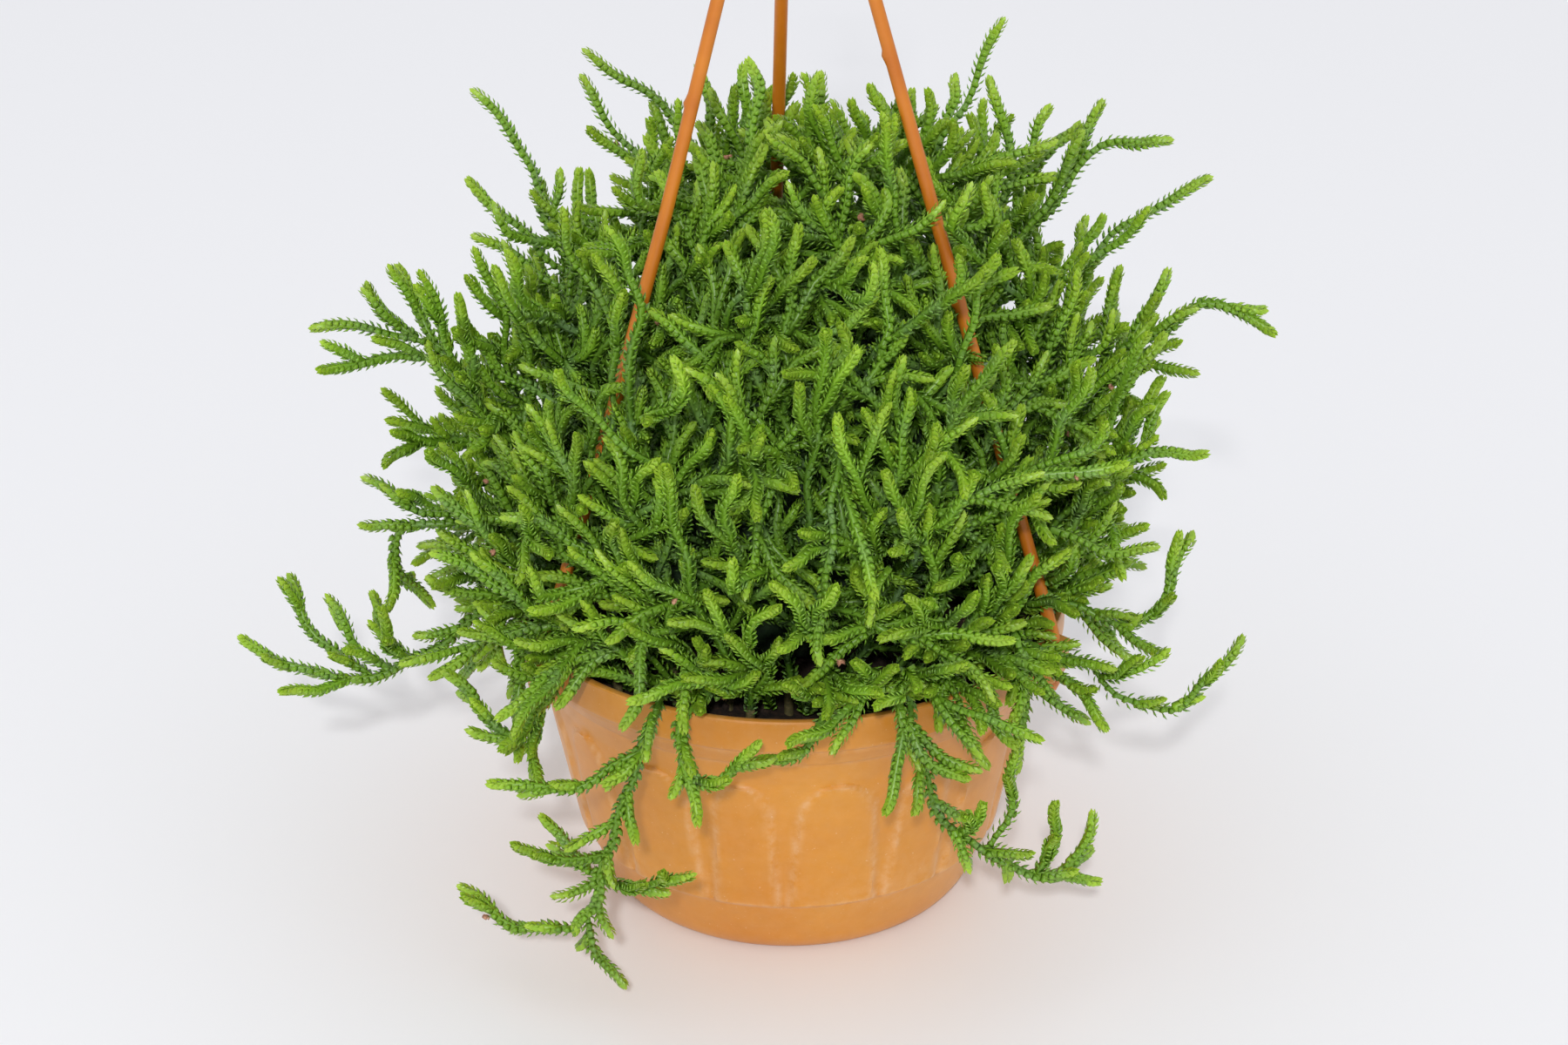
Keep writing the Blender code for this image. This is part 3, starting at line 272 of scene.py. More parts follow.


# Moulded polypropylene of the bowl: satin terracotta orange, a little uneven, with pale marks where the relief
# stands out, partly chalky scuffs and partly painted highlight, and fine dust specks
def mouldedBowlPlastic():
    look = {
        "base": hexStops((0.3, "#CB7F20"), (0.7, "#D58F2C")),
        "cloud": 45.0,
        "mottle": 5.0,
        "shades": (0.93, 1.07),
        "scuffAndHighlight": "#E9CBA8",
        "streak": 4.2,
        "streakShares": greyStops((0.34, 0.0), (0.7, 1.0)),
        "dust": 0.9,
        "dustShares": greyStops((0.70, 0.0), (0.78, 0.45)),
        "roughness": (0.38, 0.6),
        "grain": 0.6,
        "grainBump": 0.12,
        "grainDepth": 0.15 * mm,
        "haze": 0.04,
        "hazeRoughness": 0.5,
    }
    material, tree, shader = newMaterial("moulded_bowl_plastic")
    place = addNode(tree, "ShaderNodeTexCoord").outputs["Object"]
    wearAndHighlight = addNode(tree, "ShaderNodeAttribute", {"attribute_name": "potWear"})
    cloud = addNode(
        tree, "ShaderNodeTexNoise", {"Scale": 1000 / look["cloud"], "Detail": 4.0}, {"Vector": place}
    )
    base = addNode(tree, "ShaderNodeValToRGB", {"stops": look["base"]}, {"Fac": cloud.outputs["Fac"]})
    mottle = addNode(
        tree, "ShaderNodeTexNoise", {"Scale": 1000 / look["mottle"], "Detail": 5.0}, {"Vector": place}
    )
    value = addNode(tree, "ShaderNodeMapRange", spanTo(look["shades"]), {"Value": mottle.outputs["Fac"]})
    varied = addNode(
        tree, "ShaderNodeHueSaturation", links={"Color": base.outputs["Color"], "Value": value.outputs[0]}
    )
    streak = addNode(
        tree,
        "ShaderNodeTexNoise",
        {"Scale": 1000 / look["streak"], "Detail": 6.0, "Roughness": 0.7},
        {"Vector": place},
    )
    streak = addNode(
        tree, "ShaderNodeValToRGB", {"stops": look["streakShares"]}, {"Fac": streak.outputs["Fac"]}
    )
    # Pale marks along the relief, the lines, the lip and the foot: partly scuffs, partly painted highlight
    scuffedAndLit = addNode(
        tree,
        "ShaderNodeMath",
        {"operation": "MULTIPLY"},
        {0: streak.outputs["Color"], 1: wearAndHighlight.outputs["Fac"]},
    )
    dust = addNode(
        tree, "ShaderNodeTexNoise", {"Scale": 1000 / look["dust"], "Detail": 2.0}, {"Vector": place}
    )
    dust = addNode(tree, "ShaderNodeValToRGB", {"stops": look["dustShares"]}, {"Fac": dust.outputs["Fac"]})
    pale = addNode(
        tree,
        "ShaderNodeMath",
        {"operation": "ADD", "use_clamp": True},
        {0: scuffedAndLit.outputs[0], 1: dust.outputs["Color"]},
    )
    colour = addNode(
        tree,
        "ShaderNodeMix",
        {"data_type": "RGBA", 7: linearColour(look["scuffAndHighlight"])},
        {0: pale.outputs[0], 6: varied.outputs["Color"]},
    )
    tree.links.new(colour.outputs[2], shader.inputs["Base Color"])
    rough = addNode(tree, "ShaderNodeMapRange", spanTo(look["roughness"]), {"Value": pale.outputs[0]})
    tree.links.new(rough.outputs[0], shader.inputs["Roughness"])
    grain = addNode(
        tree, "ShaderNodeTexNoise", {"Scale": 1000 / look["grain"], "Detail": 3.0}, {"Vector": place}
    )
    bump = addNode(
        tree,
        "ShaderNodeBump",
        {"Strength": look["grainBump"], "Distance": look["grainDepth"]},
        {"Height": grain.outputs["Fac"]},
    )
    tree.links.new(bump.outputs["Normal"], shader.inputs["Normal"])
    shader.inputs["Sheen Weight"].default_value = look["haze"]
    shader.inputs["Sheen Roughness"].default_value = look["hazeRoughness"]
    return material


# The same plastic in the hanger's browner shade: thinner, glossier, with faint flow lines along the rods
def mouldedRodPlastic():
    look = {
        "base": hexStops((0.3, "#BC6712"), (0.7, "#CE7B1C")),
        "cloud": 14.0,
        "flow": 1.1,
        "flowStretch": (1.0, 1.0, 0.12),
        "flowDepth": 0.2 * mm,
        "flowBump": 0.2,
        "roughness": (0.3, 0.48),
    }
    material, tree, shader = newMaterial("moulded_rod_plastic")
    place = addNode(tree, "ShaderNodeTexCoord").outputs["Object"]
    cloud = addNode(
        tree, "ShaderNodeTexNoise", {"Scale": 1000 / look["cloud"], "Detail": 5.0}, {"Vector": place}
    )
    base = addNode(tree, "ShaderNodeValToRGB", {"stops": look["base"]}, {"Fac": cloud.outputs["Fac"]})
    tree.links.new(base.outputs["Color"], shader.inputs["Base Color"])
    stretched = addNode(tree, "ShaderNodeMapping", {"Scale": look["flowStretch"]}, {"Vector": place})
    flow = addNode(
        tree,
        "ShaderNodeTexNoise",
        {"Scale": 1000 / look["flow"], "Detail": 3.0},
        {"Vector": stretched.outputs[0]},
    )
    rough = addNode(tree, "ShaderNodeMapRange", spanTo(look["roughness"]), {"Value": flow.outputs["Fac"]})
    tree.links.new(rough.outputs[0], shader.inputs["Roughness"])
    bump = addNode(
        tree,
        "ShaderNodeBump",
        {"Strength": look["flowBump"], "Distance": look["flowDepth"]},
        {"Height": flow.outputs["Fac"]},
    )
    tree.links.new(bump.outputs["Normal"], shader.inputs["Normal"])
    return material


# Moist peat: nearly black, crumbly, with brown fibres
def moistPeat():
    stops = hexStops((0.3, "#120C08"), (0.52, "#2A1C12"), (0.75, "#4A3322"))
    return earthy("moist_peat", stops, grain=1.6, roughness=0.9, relief=0.6 * mm)


# Old wood of the stems' feet, where the scales have dried and dropped: grey brown with dark rings
def driedStem():
    stops = hexStops((0.3, "#3A3A1E"), (0.55, "#5E5530"), (0.75, "#8A7B55"))
    return earthy("dried_stem", stops, grain=1.2, roughness=0.75, relief=0.3 * mm)


# What shows between the stems deep in the bush: shaded leaf and dead litter, its dark colours painted shade
def paintedShadeLitter():
    stops = hexStops((0.3, "#0E1C0B"), (0.55, "#1B3414"), (0.75, "#33331A"))
    return earthy("painted_shade_litter", stops, grain=3.0, roughness=0.8, relief=1 * mm)


# Dried flower heads: papery, pink brown
def driedFlower():
    stops = hexStops((0.3, "#8F5A45"), (0.55, "#B98468"), (0.75, "#DDBE98"))
    return earthy("dried_flower", stops, grain=0.9, roughness=0.7, relief=0.1 * mm)


# A mottled natural finish: its colours by a noise of the given size in millimetres, and that size of bumps
def earthy(name, stops, grain, roughness, relief):
    material, tree, shader = newMaterial(name)
    place = addNode(tree, "ShaderNodeTexCoord").outputs["Object"]
    crumbs = addNode(
        tree,
        "ShaderNodeTexNoise",
        {"Scale": 1000 / grain, "Detail": 5.0, "Roughness": 0.65},
        {"Vector": place},
    )
    colour = addNode(tree, "ShaderNodeValToRGB", {"stops": stops}, {"Fac": crumbs.outputs["Fac"]})
    tree.links.new(colour.outputs["Color"], shader.inputs["Base Color"])
    bump = addNode(
        tree, "ShaderNodeBump", {"Strength": 0.7, "Distance": relief}, {"Height": crumbs.outputs["Fac"]}
    )
    tree.links.new(bump.outputs["Normal"], shader.inputs["Normal"])
    shader.inputs["Roughness"].default_value = roughness
    return material


# Meshes


# An object from corner places and face tables, with a material for each face and one attribute of its corners
def makePiece(name, corners, tables, materials, faceMaterials=None, attribute=None, values=None):
    mesh = bpy.data.meshes.new(name)
    loops = np.concatenate([table.ravel() for table in tables]).astype(np.int32)
    sizes = np.concatenate([np.full(len(table), table.shape[1]) for table in tables])
    mesh.vertices.add(len(corners))
    mesh.vertices.foreach_set("co", np.asarray(corners, np.float32).ravel())
    mesh.loops.add(len(loops))
    mesh.loops.foreach_set("vertex_index", loops)
    mesh.polygons.add(len(sizes))
    mesh.polygons.foreach_set("loop_start", np.concatenate([[0], np.cumsum(sizes)[:-1]]).astype(np.int32))
    for material in materials:
        mesh.materials.append(material)
    if faceMaterials is not None:
        mesh.polygons.foreach_set("material_index", np.asarray(faceMaterials, np.int32))
    mesh.update(calc_edges=True)
    if attribute:
        made = mesh.attributes.new(attribute, "FLOAT_COLOR", "POINT")
        made.data.foreach_set("color", np.asarray(values, np.float32).ravel())
    mesh.shade_smooth()
    piece = bpy.data.objects.new(name, mesh)
    bpy.context.scene.collection.objects.link(piece)
    return piece


# Puts a finished piece on the part: it rides on the body and stands for its nodes. The slot's name is not used.
def placePiece(piece, slotName, *nodes):
    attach(piece, "root")
    if nodes:
        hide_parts(*nodes)


# Corners and face tables of a turned or swept grid: rows of rings, closed round, with a fan at each end
def ringedBody(rings, lowEnd, highEnd):
    rows, steps = rings.shape[:2]
    corners = np.vstack([rings.reshape(-1, 3), lowEnd[None], highEnd[None]])
    index = np.arange(rows * steps).reshape(rows, steps)
    after = np.roll(index, -1, axis=1)
    quads = np.stack([index[:-1], after[:-1], after[1:], index[1:]], axis=-1).reshape(-1, 4)
    low = np.stack([np.full(steps, rows * steps), after[0], index[0]], axis=-1)
    high = np.stack([np.full(steps, rows * steps + 1), index[-1], after[-1]], axis=-1)
    return corners, [quads, np.vstack([low, high])]


# Corners and face tables of a tube along points, whose radius and turn may change
def sweptTube(points, radii, sides, turn=0.0):
    ahead, side, up = stemFrames(points)
    turns = np.arange(sides)[None] * 2 * math.pi / sides + np.broadcast_to(turn, (len(points),))[:, None]
    spokes = np.cos(turns)[:, :, None] * side[:, None] + np.sin(turns)[:, :, None] * up[:, None]
    radii = np.broadcast_to(np.asarray(radii, float), (len(points),))
    rings = points[:, None] + spokes * radii[:, None, None]
    ends = 0.4 * radii[0], 0.4 * radii[-1]
    return ringedBody(rings, points[0] - ahead[0] * ends[0], points[-1] + ahead[-1] * ends[1])


# Directions along a path and two side directions at each of its points, carried along without twist
def stemFrames(points):
    ahead = np.gradient(points, axis=0)
    ahead /= np.linalg.norm(ahead, axis=1)[:, None]
    side = np.cross(ahead[0], [0.31, 0.17, 0.93])
    sides = []
    for direction in ahead:
        side = side - direction * direction.dot(side)
        side = side / math.sqrt(side.dot(side))
        sides.append(side)
    sides = np.array(sides)
    return ahead, sides, np.cross(ahead, sides)


def smoothStep(low, high, value):
    share = np.clip((value - low) / (high - low), 0.0, 1.0)
    return share * share * (3 - 2 * share)


# A bell curve: 1 in the middle, falling off over the width
def bell(away, width):
    return np.exp(-((away / width) ** 2))


def unit(vectors):
    return vectors / np.linalg.norm(vectors, axis=-1, keepdims=True)


def runAlong(points):
    return np.concatenate([[0.0], np.cumsum(np.linalg.norm(np.diff(points, axis=0), axis=1))])


# Values on a path at one or more distances from its foot
def alongPath(values, run, spots):
    return np.stack([np.interp(spots, run, values[:, axis]) for axis in range(3)], axis=-1)


# Shapes that the pieces share

pot = {
    "rimRadius": 85.0 * mm,
    "height": 97.5 * mm,
    "rimBand": 10.5 * mm,
    "baseRadius": 54.6 * mm,
    "rimWall": 2.4 * mm,
    "floor": 2.2 * mm,
    "petalPairs": 8,
    "petalRise": 1.1 * mm,
    "petalEdge": (-1.0 * mm, 0.8 * mm),
    "petalRib": 0.3 * mm,
    "ribWidth": 0.9 * mm,
    "petalFoot": 21.5 * mm,
    "petalTop": 69.0 * mm,
    "petalArch": 11.0 * mm,
    "petalTurn": math.radians(-11.0),
    "petalHalves": (math.radians(8.2), math.radians(11.2)),
    "petalLean": 0.72,
    "reliefZone": (3.0 * mm, 94.0 * mm),
    "drainHoles": 5,
    "drainRadius": 3.5 * mm,
    "drainCircle": 36.0 * mm,
    "holeSides": 24,
    "columns": 264,
    "rows": 44,
    "innerRows": 26,
    "fineRows": ((1.5, 1.5), (21.5, 1.8), (68.5, 1.8), (79.0, 1.4), (86.6, 1.2), (95.6, 1.2)),
    "fineStep": 0.45,
    "lines": ((86.0, 0.28), (79.3, 0.22)),
    "lineWidth": 0.45 * mm,
    "lipRound": 0.8 * mm,
    # Pale marks on the outside: a little wear all over, then wear with painted highlight at the relief and
    # edges
    "wearAll": 0.06,
    "petalWearAndHighlight": (0.36, 1.1 * mm),
    "lineWearAndHighlight": (0.20, 1.2 * mm),
    "lipWearAndHighlight": (0.08, 1.5 * mm),
    "footWearAndHighlight": (0.14, 7 * mm),
    "footWearAndHighlightHeight": 24 * mm,
    "wearInside": 0.02,
    "sharpAngle": math.radians(38),
}

hanger = {
    "azimuths": (-56.0, 64.0, 184.0),
    "earWidth": 15.0 * mm,
    "earReach": 92.0 * mm,
    "earDepth": 11.0 * mm,
    "earRoot": 1.6 * mm,
    "earTaper": 0.66,
    "earProud": 0.4 * mm,
    "earRound": 0.9 * mm,
    "rodRadius": 2.0 * mm,
    "rodHole": 2.4 * mm,
    "rodCircle": 87.8 * mm,
    "rodBows": (-4.0, -0.5, -1.5),
    "rodStraight": 3.0 * mm,
    "rodSides": 14,
    "rodStep": 1.5 * mm,
    "headRadius": 3.3 * mm,
    "headTip": 1.5 * mm,
    "headHeight": 4.6 * mm,
    "hubBase": 362.0 * mm,
    "hubHeight": 15.0 * mm,
    "hubRadius": 10.0 * mm,
    "hubRound": 1.2 * mm,
    "hubCircle": 5.8 * mm,
    "hubSides": 48,
    "socketDepth": 10.0 * mm,
    "roundSides": 20,
    "hookWire": 2.4 * mm,
    "hookBend": 14.0 * mm,
    "hookStem": 8 * mm,
    "hookArc": 235,
    "hookSteps": 12,
    "nubs": ((168.0, 262.0), (118.0, 203.0, 275.0), (196.0, 282.0)),
    "nubHeight": 0.8 * mm,
    "nubWidth": 1.1 * mm,
}

soil = {
    "top": 85.5 * mm,
    "rootDepth": 11.0 * mm,
    "neck": 7.0 * mm,
    "rootRows": (58.0 * mm, 72.0 * mm),
    "rootSlots": 40,
    "columns": 128,
    "rings": 38,
    "lumps": ((9.0, 1.3), (3.2, 0.8), (1.4, 0.35)),
    "lumpSink": 0.6 * mm,
    "crumbs": 420,
    "crumbSize": (0.5, 1.9),
    "crumbStretch": (0.6, 1.2),
    "crumbRough": 0.35,
    "crumbSink": 0.2 * mm,
    "fibres": 60,
    "fibreLength": (4, 12),
    "fibreRadius": (0.12, 0.3),
    "seed": 31,
}
bareFoot = soil["rootDepth"] + soil["neck"]


# A place by azimuth in degrees, radius and height
def around(azimuthDeg, radius, height):
    turn = math.radians(azimuthDeg)
    return np.array([radius * math.sin(turn), -radius * math.cos(turn), height])


# Evenly spaced points on a smooth curve through the way, with no overshoot at short gaps
def smoothPath(way, step, fineness=20):
    way = np.array(way, float)
    padded = np.vstack([2 * way[0] - way[1], way, 2 * way[-1] - way[-2]])
    knots = np.concatenate([[0.0], np.cumsum(np.linalg.norm(np.diff(padded, axis=0), axis=1) ** 0.5)])
    fine = []
    for i in range(1, len(padded) - 2):
        a, b, c, d = padded[i - 1 : i + 3]
        ka, kb, kc, kd = knots[i - 1 : i + 3]
        for k in np.linspace(kb, kc, fineness, endpoint=False):
            ab = a + (b - a) * (k - ka) / (kb - ka)
            bc = b + (c - b) * (k - kb) / (kc - kb)
            cd = c + (d - c) * (k - kc) / (kd - kc)
            abc = ab + (bc - ab) * (k - ka) / (kc - ka)
            bcd = bc + (cd - bc) * (k - kb) / (kd - kb)
            fine.append(abc + (bcd - abc) * (k - kb) / (kc - kb))
    fine.append(way[-1])
    return evenPoints(np.array(fine), step)


# The same line as points a step apart, or as near to that as divides it evenly
def evenPoints(line, step):
    run = runAlong(line)
    places = np.linspace(0.0, run[-1], max(3, int(round(run[-1] / step)) + 1))
    return alongPath(line, run, places)


# The pot's outside from the lip down to the base, as (radius, height)
def outerWall():
    bandFoot = pot["height"] - pot["rimBand"]
    return [
        (pot["rimRadius"], pot["height"]),
        (pot["rimRadius"] - 0.2 * mm, bandFoot),
        (pot["rimRadius"] - 1.1 * mm, bandFoot - 0.6 * mm),
        (pot["rimRadius"] - 5.6 * mm, 79.5 * mm),
        (pot["rimRadius"] - 6.8 * mm, 78.7 * mm),
        (74.9 * mm, pot["petalTop"] + 1.2 * mm),
        (74.1 * mm, pot["petalTop"] - 3.2 * mm),
        (73.1 * mm, pot["petalTop"] - 8.0 * mm),
        (65.2 * mm, pot["petalFoot"] + 1.4 * mm),
        (64.7 * mm, pot["petalFoot"]),
        (57.9 * mm, 4.0 * mm),
        (pot["baseRadius"], 0.0),
    ]


# The pot's inside from the floor's middle up to the lip
def innerWall():
    return [
        (0.0, pot["floor"]),
        (53.5 * mm, pot["floor"]),
        (68.9 * mm, 52.0 * mm),
        (73.0 * mm, 70.0 * mm),
        (76.5 * mm, 79.2 * mm),
        (pot["rimRadius"] - pot["rimWall"] - 0.4 * mm, 88.0 * mm),
        (pot["rimRadius"] - pot["rimWall"], pot["height"]),
    ]


# A rod's middle line, from under its ear up into the hub
def rodLine(index):
    foot, top, circle = pot["height"], hanger["hubBase"], hanger["rodCircle"]
    low, high = foot + hanger["rodStraight"], top - hanger["rodStraight"]
    places = [(circle, foot - hanger["earDepth"] - hanger["rodStraight"]), (circle, foot)]
    for t in np.linspace(0.0, 1.0, 5):
        bow = hanger["rodBows"][index] * mm * 4 * t * (1 - t)
        places.append((circle + (hanger["hubCircle"] - circle) * t + bow, low + (high - low) * t))
    places.append((hanger["hubCircle"], top + hanger["socketDepth"] - gap))
    return np.array([around(hanger["azimuths"][index], radius, height) for radius, height in places])


# Boolean and mesh helpers


def applyModifiers(obj):
    graph = bpy.context.evaluated_depsgraph_get()
    mesh = bpy.data.meshes.new_from_object(obj.evaluated_get(graph))
    obj.modifiers.clear()
    obj.data = mesh


# Joins or cuts an object with others, which are then removed
def combine(obj, others, operation):
    helpers = bpy.data.collections.new("helpers")
    bpy.context.scene.collection.children.link(helpers)
    for other in others:
        for owner in list(other.users_collection):
            owner.objects.unlink(other)
        helpers.objects.link(other)
    boolean = obj.modifiers.new("combine", "BOOLEAN")
    boolean.operation = operation
    boolean.operand_type = "COLLECTION"
    boolean.collection = helpers
    boolean.solver = "MANIFOLD"
    applyModifiers(obj)
    for other in others:
        bpy.data.objects.remove(other, do_unlink=True)
    bpy.data.collections.remove(helpers)


# An upright cylinder or cone between two heights
def uprightCylinder(radius, low, high, at, sides, topRadius=None):
    shape = bmesh.new()
    top = radius if topRadius is None else topRadius
    bmesh.ops.create_cone(shape, cap_ends=True, segments=sides, radius1=radius, radius2=top, depth=high - low)
    bmesh.ops.translate(shape, vec=(at[0], at[1], (low + high) / 2), verts=shape.verts)
    return shapeToObject("cylinder", shape)


def shapeToObject(name, shape):
    mesh = bpy.data.meshes.new(name)
    shape.to_mesh(mesh)
    shape.free()
    obj = bpy.data.objects.new(name, mesh)
    bpy.context.scene.collection.objects.link(obj)
    return obj


# Smooth shading that keeps a moulding's edges crisp
def shadeMoulding(obj):
    obj.data.shade_smooth()
    obj.data.set_sharp_from_angle(angle=pot["sharpAngle"])


# Corners and face tables of a body turned round Z from its outline, which runs up the outside
def turnedBody(outline, columns):
    outline = np.array(outline)
    turns = np.arange(columns) * 2 * math.pi / columns
    radius, height = outline[1:-1, 0], outline[1:-1, 1]
    across = radius[:, None] * np.sin(turns)[None], -radius[:, None] * np.cos(turns)[None]
    rings = np.stack([*across, np.repeat(height[:, None], columns, axis=1)], axis=-1)
    low, high = (np.array([0.0, 0.0, outline[end, 1]]) for end in (0, -1))
    return ringedBody(rings, low, high)


# Bowl


# How far inside the nearest petal's outline a place on the wall lies, in metres: below zero outside
def petalInset(azimuth, radius, height):
    pair = 2 * math.pi / pot["petalPairs"]
    climb = np.clip((height - pot["petalFoot"]) / (pot["petalTop"] - pot["petalFoot"]), 0.0, 1.0)
    arch = np.clip((height - pot["petalTop"] + pot["petalArch"]) / pot["petalArch"], 0.0, 1.0)
    width = (1.0 - (1.0 - pot["petalLean"]) * climb) * np.sqrt(1.0 - arch**2)
    insets = []
    for order, half in enumerate(pot["petalHalves"]):
        away = (azimuth - pot["petalTurn"] - order * pair / 2 + pair / 2) % pair - pair / 2
        insets.append((half * width - np.abs(away)) * radius)
    ends = np.minimum(height - pot["petalFoot"], pot["petalTop"] - height)
    return np.minimum(np.maximum(*insets), ends)


# The relief of the petals, with a low rib along each outline, and the two thin lines under the rim
def wallRelief(azimuth, radius, height):
    inset = petalInset(azimuth, radius, height)
    rise = pot["petalRise"] * smoothStep(*pot["petalEdge"], inset)
    rise += pot["petalRib"] * bell(inset, pot["ribWidth"])
    for line, depth in pot["lines"]:
        rise -= depth * mm * bell(height - line * mm, pot["lineWidth"])
    return rise


# The bowl's outline: under the base, up the outside with softened steps, over the lip and down inside
def bowlOutline():
    base, top, lip = pot["baseRadius"], pot["height"], pot["lipRound"]
    rim, inner = pot["rimRadius"], pot["rimRadius"] - pot["rimWall"]
    heights = [np.linspace(0.0, top, pot["rows"])]
    for middle, reach in pot["fineRows"]:
        heights.append(np.arange(middle - reach, middle + reach, pot["fineStep"]) * mm)
    heights = np.unique(np.concatenate(heights))
    heights = heights[(heights > 1.4 * mm) & (heights < top - 1.05 * lip)]
    wall = np.array(outerWall()[::-1])
    shifts = [shift * mm for shift in (-0.5, -0.25, 0.0, 0.25, 0.5)]
    soft = [np.interp(heights + shift, wall[:, 1], wall[:, 0]) for shift in shifts]
    outline = [(0.0, 0.0), (0.5 * base, 0.0), (base - 1.6 * mm, 0.0)]
    outline += [(base - 0.5 * mm, 0.15 * mm), (base, 0.6 * mm)]
    outline += list(zip(np.mean(soft, axis=0), heights))
    outline += [(rim, top - lip), (rim - 0.3 * lip, top - 0.3 * lip), (rim - lip, top), (inner + lip, top)]
    outline += [(inner + 0.3 * lip, top - 0.3 * lip), (inner, top - lip)]
    down = np.array(innerWall()[1:-1][::-1])
    steps = np.linspace(0.0, len(down) - 1.0, pot["innerRows"])
    outline += list(zip(*(np.interp(steps, range(len(down)), column) for column in down.T)))
    return outline + [(0.5 * base, pot["floor"]), (0.0, pot["floor"])]


# A block on the rim band that holds a rod's foot, narrower at its outer face and below, with soft edges
def rimEar(azimuth):
    turn = math.radians(azimuth)
    outward = np.array([math.sin(turn), -math.cos(turn), 0.0])
    sideways = np.array([math.cos(turn), math.sin(turn), 0.0])
    shape = bmesh.new()
    bmesh.ops.create_cube(shape, size=2.0)
    for vert in shape.verts:
        side, out, up = vert.co.x, vert.co.y < 0, vert.co.z > 0
        radius, half = pot["rimRadius"] - hanger["earRoot"], hanger["earWidth"] / 2
        if out:
            radius = hanger["earReach"] if up else hanger["earReach"] - hanger["earRoot"]
            half *= hanger["earTaper"]
        height = pot["height"] + hanger["earProud"] if up else pot["height"] - hanger["earDepth"]
        vert.co = outward * radius + sideways * half * side + np.array([0.0, 0.0, height])
    bmesh.ops.recalc_face_normals(shape, faces=shape.faces)
    bmesh.ops.bevel(
        shape, geom=shape.edges, offset=hanger["earRound"], segments=3, profile=0.5, affect="EDGES"
    )
    return shapeToObject("ear", shape)


# Whitish wear and painted highlight: along the petals' outlines, at the thin lines, on the lip and round the
# foot
def bowlWearAndHighlight(places):
    radius = np.hypot(places[:, 0], places[:, 1])
    azimuth = np.arctan2(places[:, 0], -places[:, 1])
    height = places[:, 2]
    middleOfWall = np.interp(height, [0.0, pot["height"]], [pot["baseRadius"] - 1 * mm, 80 * mm])

    def wornAndLit(amount, width, away):
        return amount * bell(away, width)

    wearAndHighlight = wornAndLit(*pot["petalWearAndHighlight"], petalInset(azimuth, radius, height)) + pot["wearAll"]
    for line, _ in pot["lines"]:
        wearAndHighlight += wornAndLit(*pot["lineWearAndHighlight"], height - line * mm)
    wearAndHighlight += wornAndLit(*pot["lipWearAndHighlight"], height - pot["height"])
    uneven = 0.5 + 0.5 * np.sin(3 * azimuth - 1.0)
    wearAndHighlight += wornAndLit(*pot["footWearAndHighlight"], height - pot["footWearAndHighlightHeight"]) * uneven
    return np.where(radius > middleOfWall, wearAndHighlight, pot["wearInside"])


def makeBowl(material):
    corners, tables = turnedBody(bowlOutline(), pot["columns"])
    radius = np.hypot(corners[:, 0], corners[:, 1])
    azimuth = np.arctan2(corners[:, 0], -corners[:, 1])
    wall = np.array(outerWall()[::-1])
    outside = radius > np.interp(corners[:, 2], wall[:, 1], wall[:, 0]) - 1.2 * mm
    low, high = pot["reliefZone"]
    outside &= (corners[:, 2] > low) & (corners[:, 2] < high)
    grown = radius + np.where(outside, wallRelief(azimuth, radius, corners[:, 2]), 0.0)
    corners[:, :2] *= (grown / np.maximum(radius, 1e-9))[:, None]
    bowl = makePiece("moulded_bowl", corners, tables, [material])
    combine(bowl, [rimEar(azimuth) for azimuth in hanger["azimuths"]], "UNION")
    cutters = []
    sides = pot["holeSides"]
    for azimuth in hanger["azimuths"]:
        at = around(azimuth, hanger["rodCircle"], 0.0)
        low = pot["height"] - hanger["earDepth"] - 6 * mm
        cutters.append(uprightCylinder(hanger["rodHole"], low, pot["height"] + 9 * mm, at, sides))
    for order in range(pot["drainHoles"]):
        at = around(order * 360 / pot["drainHoles"], pot["drainCircle"], 0.0)
        cutters.append(uprightCylinder(pot["drainRadius"], -2 * mm, pot["floor"] + 2 * mm, at, sides))
    combine(bowl, cutters, "DIFFERENCE")
    # How pale the bowl is at each corner: wear, and painted highlight along the relief and edges
    places = np.zeros(len(bowl.data.vertices) * 3, np.float32)
    bowl.data.vertices.foreach_get("co", places)
    wearAndHighlight = bowl.data.attributes.new("potWear", "FLOAT", "POINT")
    wearAndHighlight.data.foreach_set("value", bowlWearAndHighlight(places.reshape(-1, 3)).astype(np.float32))
    shadeMoulding(bowl)
    placePiece(bowl, "terracotta_plastic", "pot")
    print("bowl", len(bowl.data.polygons), "faces")


# Hanger


# A rod with its moulding nubs, and the swollen foot that snaps under its ear
def makeRod(index, node, material):
    rod = makePiece(node.replace("hanger_", "moulded_"), *rodBody(index), [material])
    at = around(hanger["azimuths"][index], hanger["rodCircle"], 0.0)
    high = pot["height"] - hanger["earDepth"] - gap
    low = high + gap - hanger["headHeight"]
    head = uprightCylinder(hanger["headTip"], low, high, at, hanger["roundSides"], hanger["headRadius"])
    combine(rod, [head], "UNION")
    shadeMoulding(rod)
    placePiece(rod, "rod_plastic", node)


# The rod's tube, with the nubs swelling out of its left side
def rodBody(index):
    line = evenPoints(rodLine(index), hanger["rodStep"])
    corners, tables = sweptTube(line, hanger["rodRadius"], hanger["rodSides"])
    rings = corners[:-2].reshape(len(line), hanger["rodSides"], 3)
    spokes = (rings - line[:, None]) / hanger["rodRadius"]
    leftness = np.clip(-spokes[:, :, 0], 0.0, 1.0) ** 3
    for nub in hanger["nubs"][index]:
        swell = bell(line[:, 2] - nub * mm, hanger["nubWidth"])
        rings += spokes * (hanger["nubHeight"] * swell[:, None] * leftness)[:, :, None]
    corners[:-2] = rings.reshape(-1, 3)
    return corners, tables


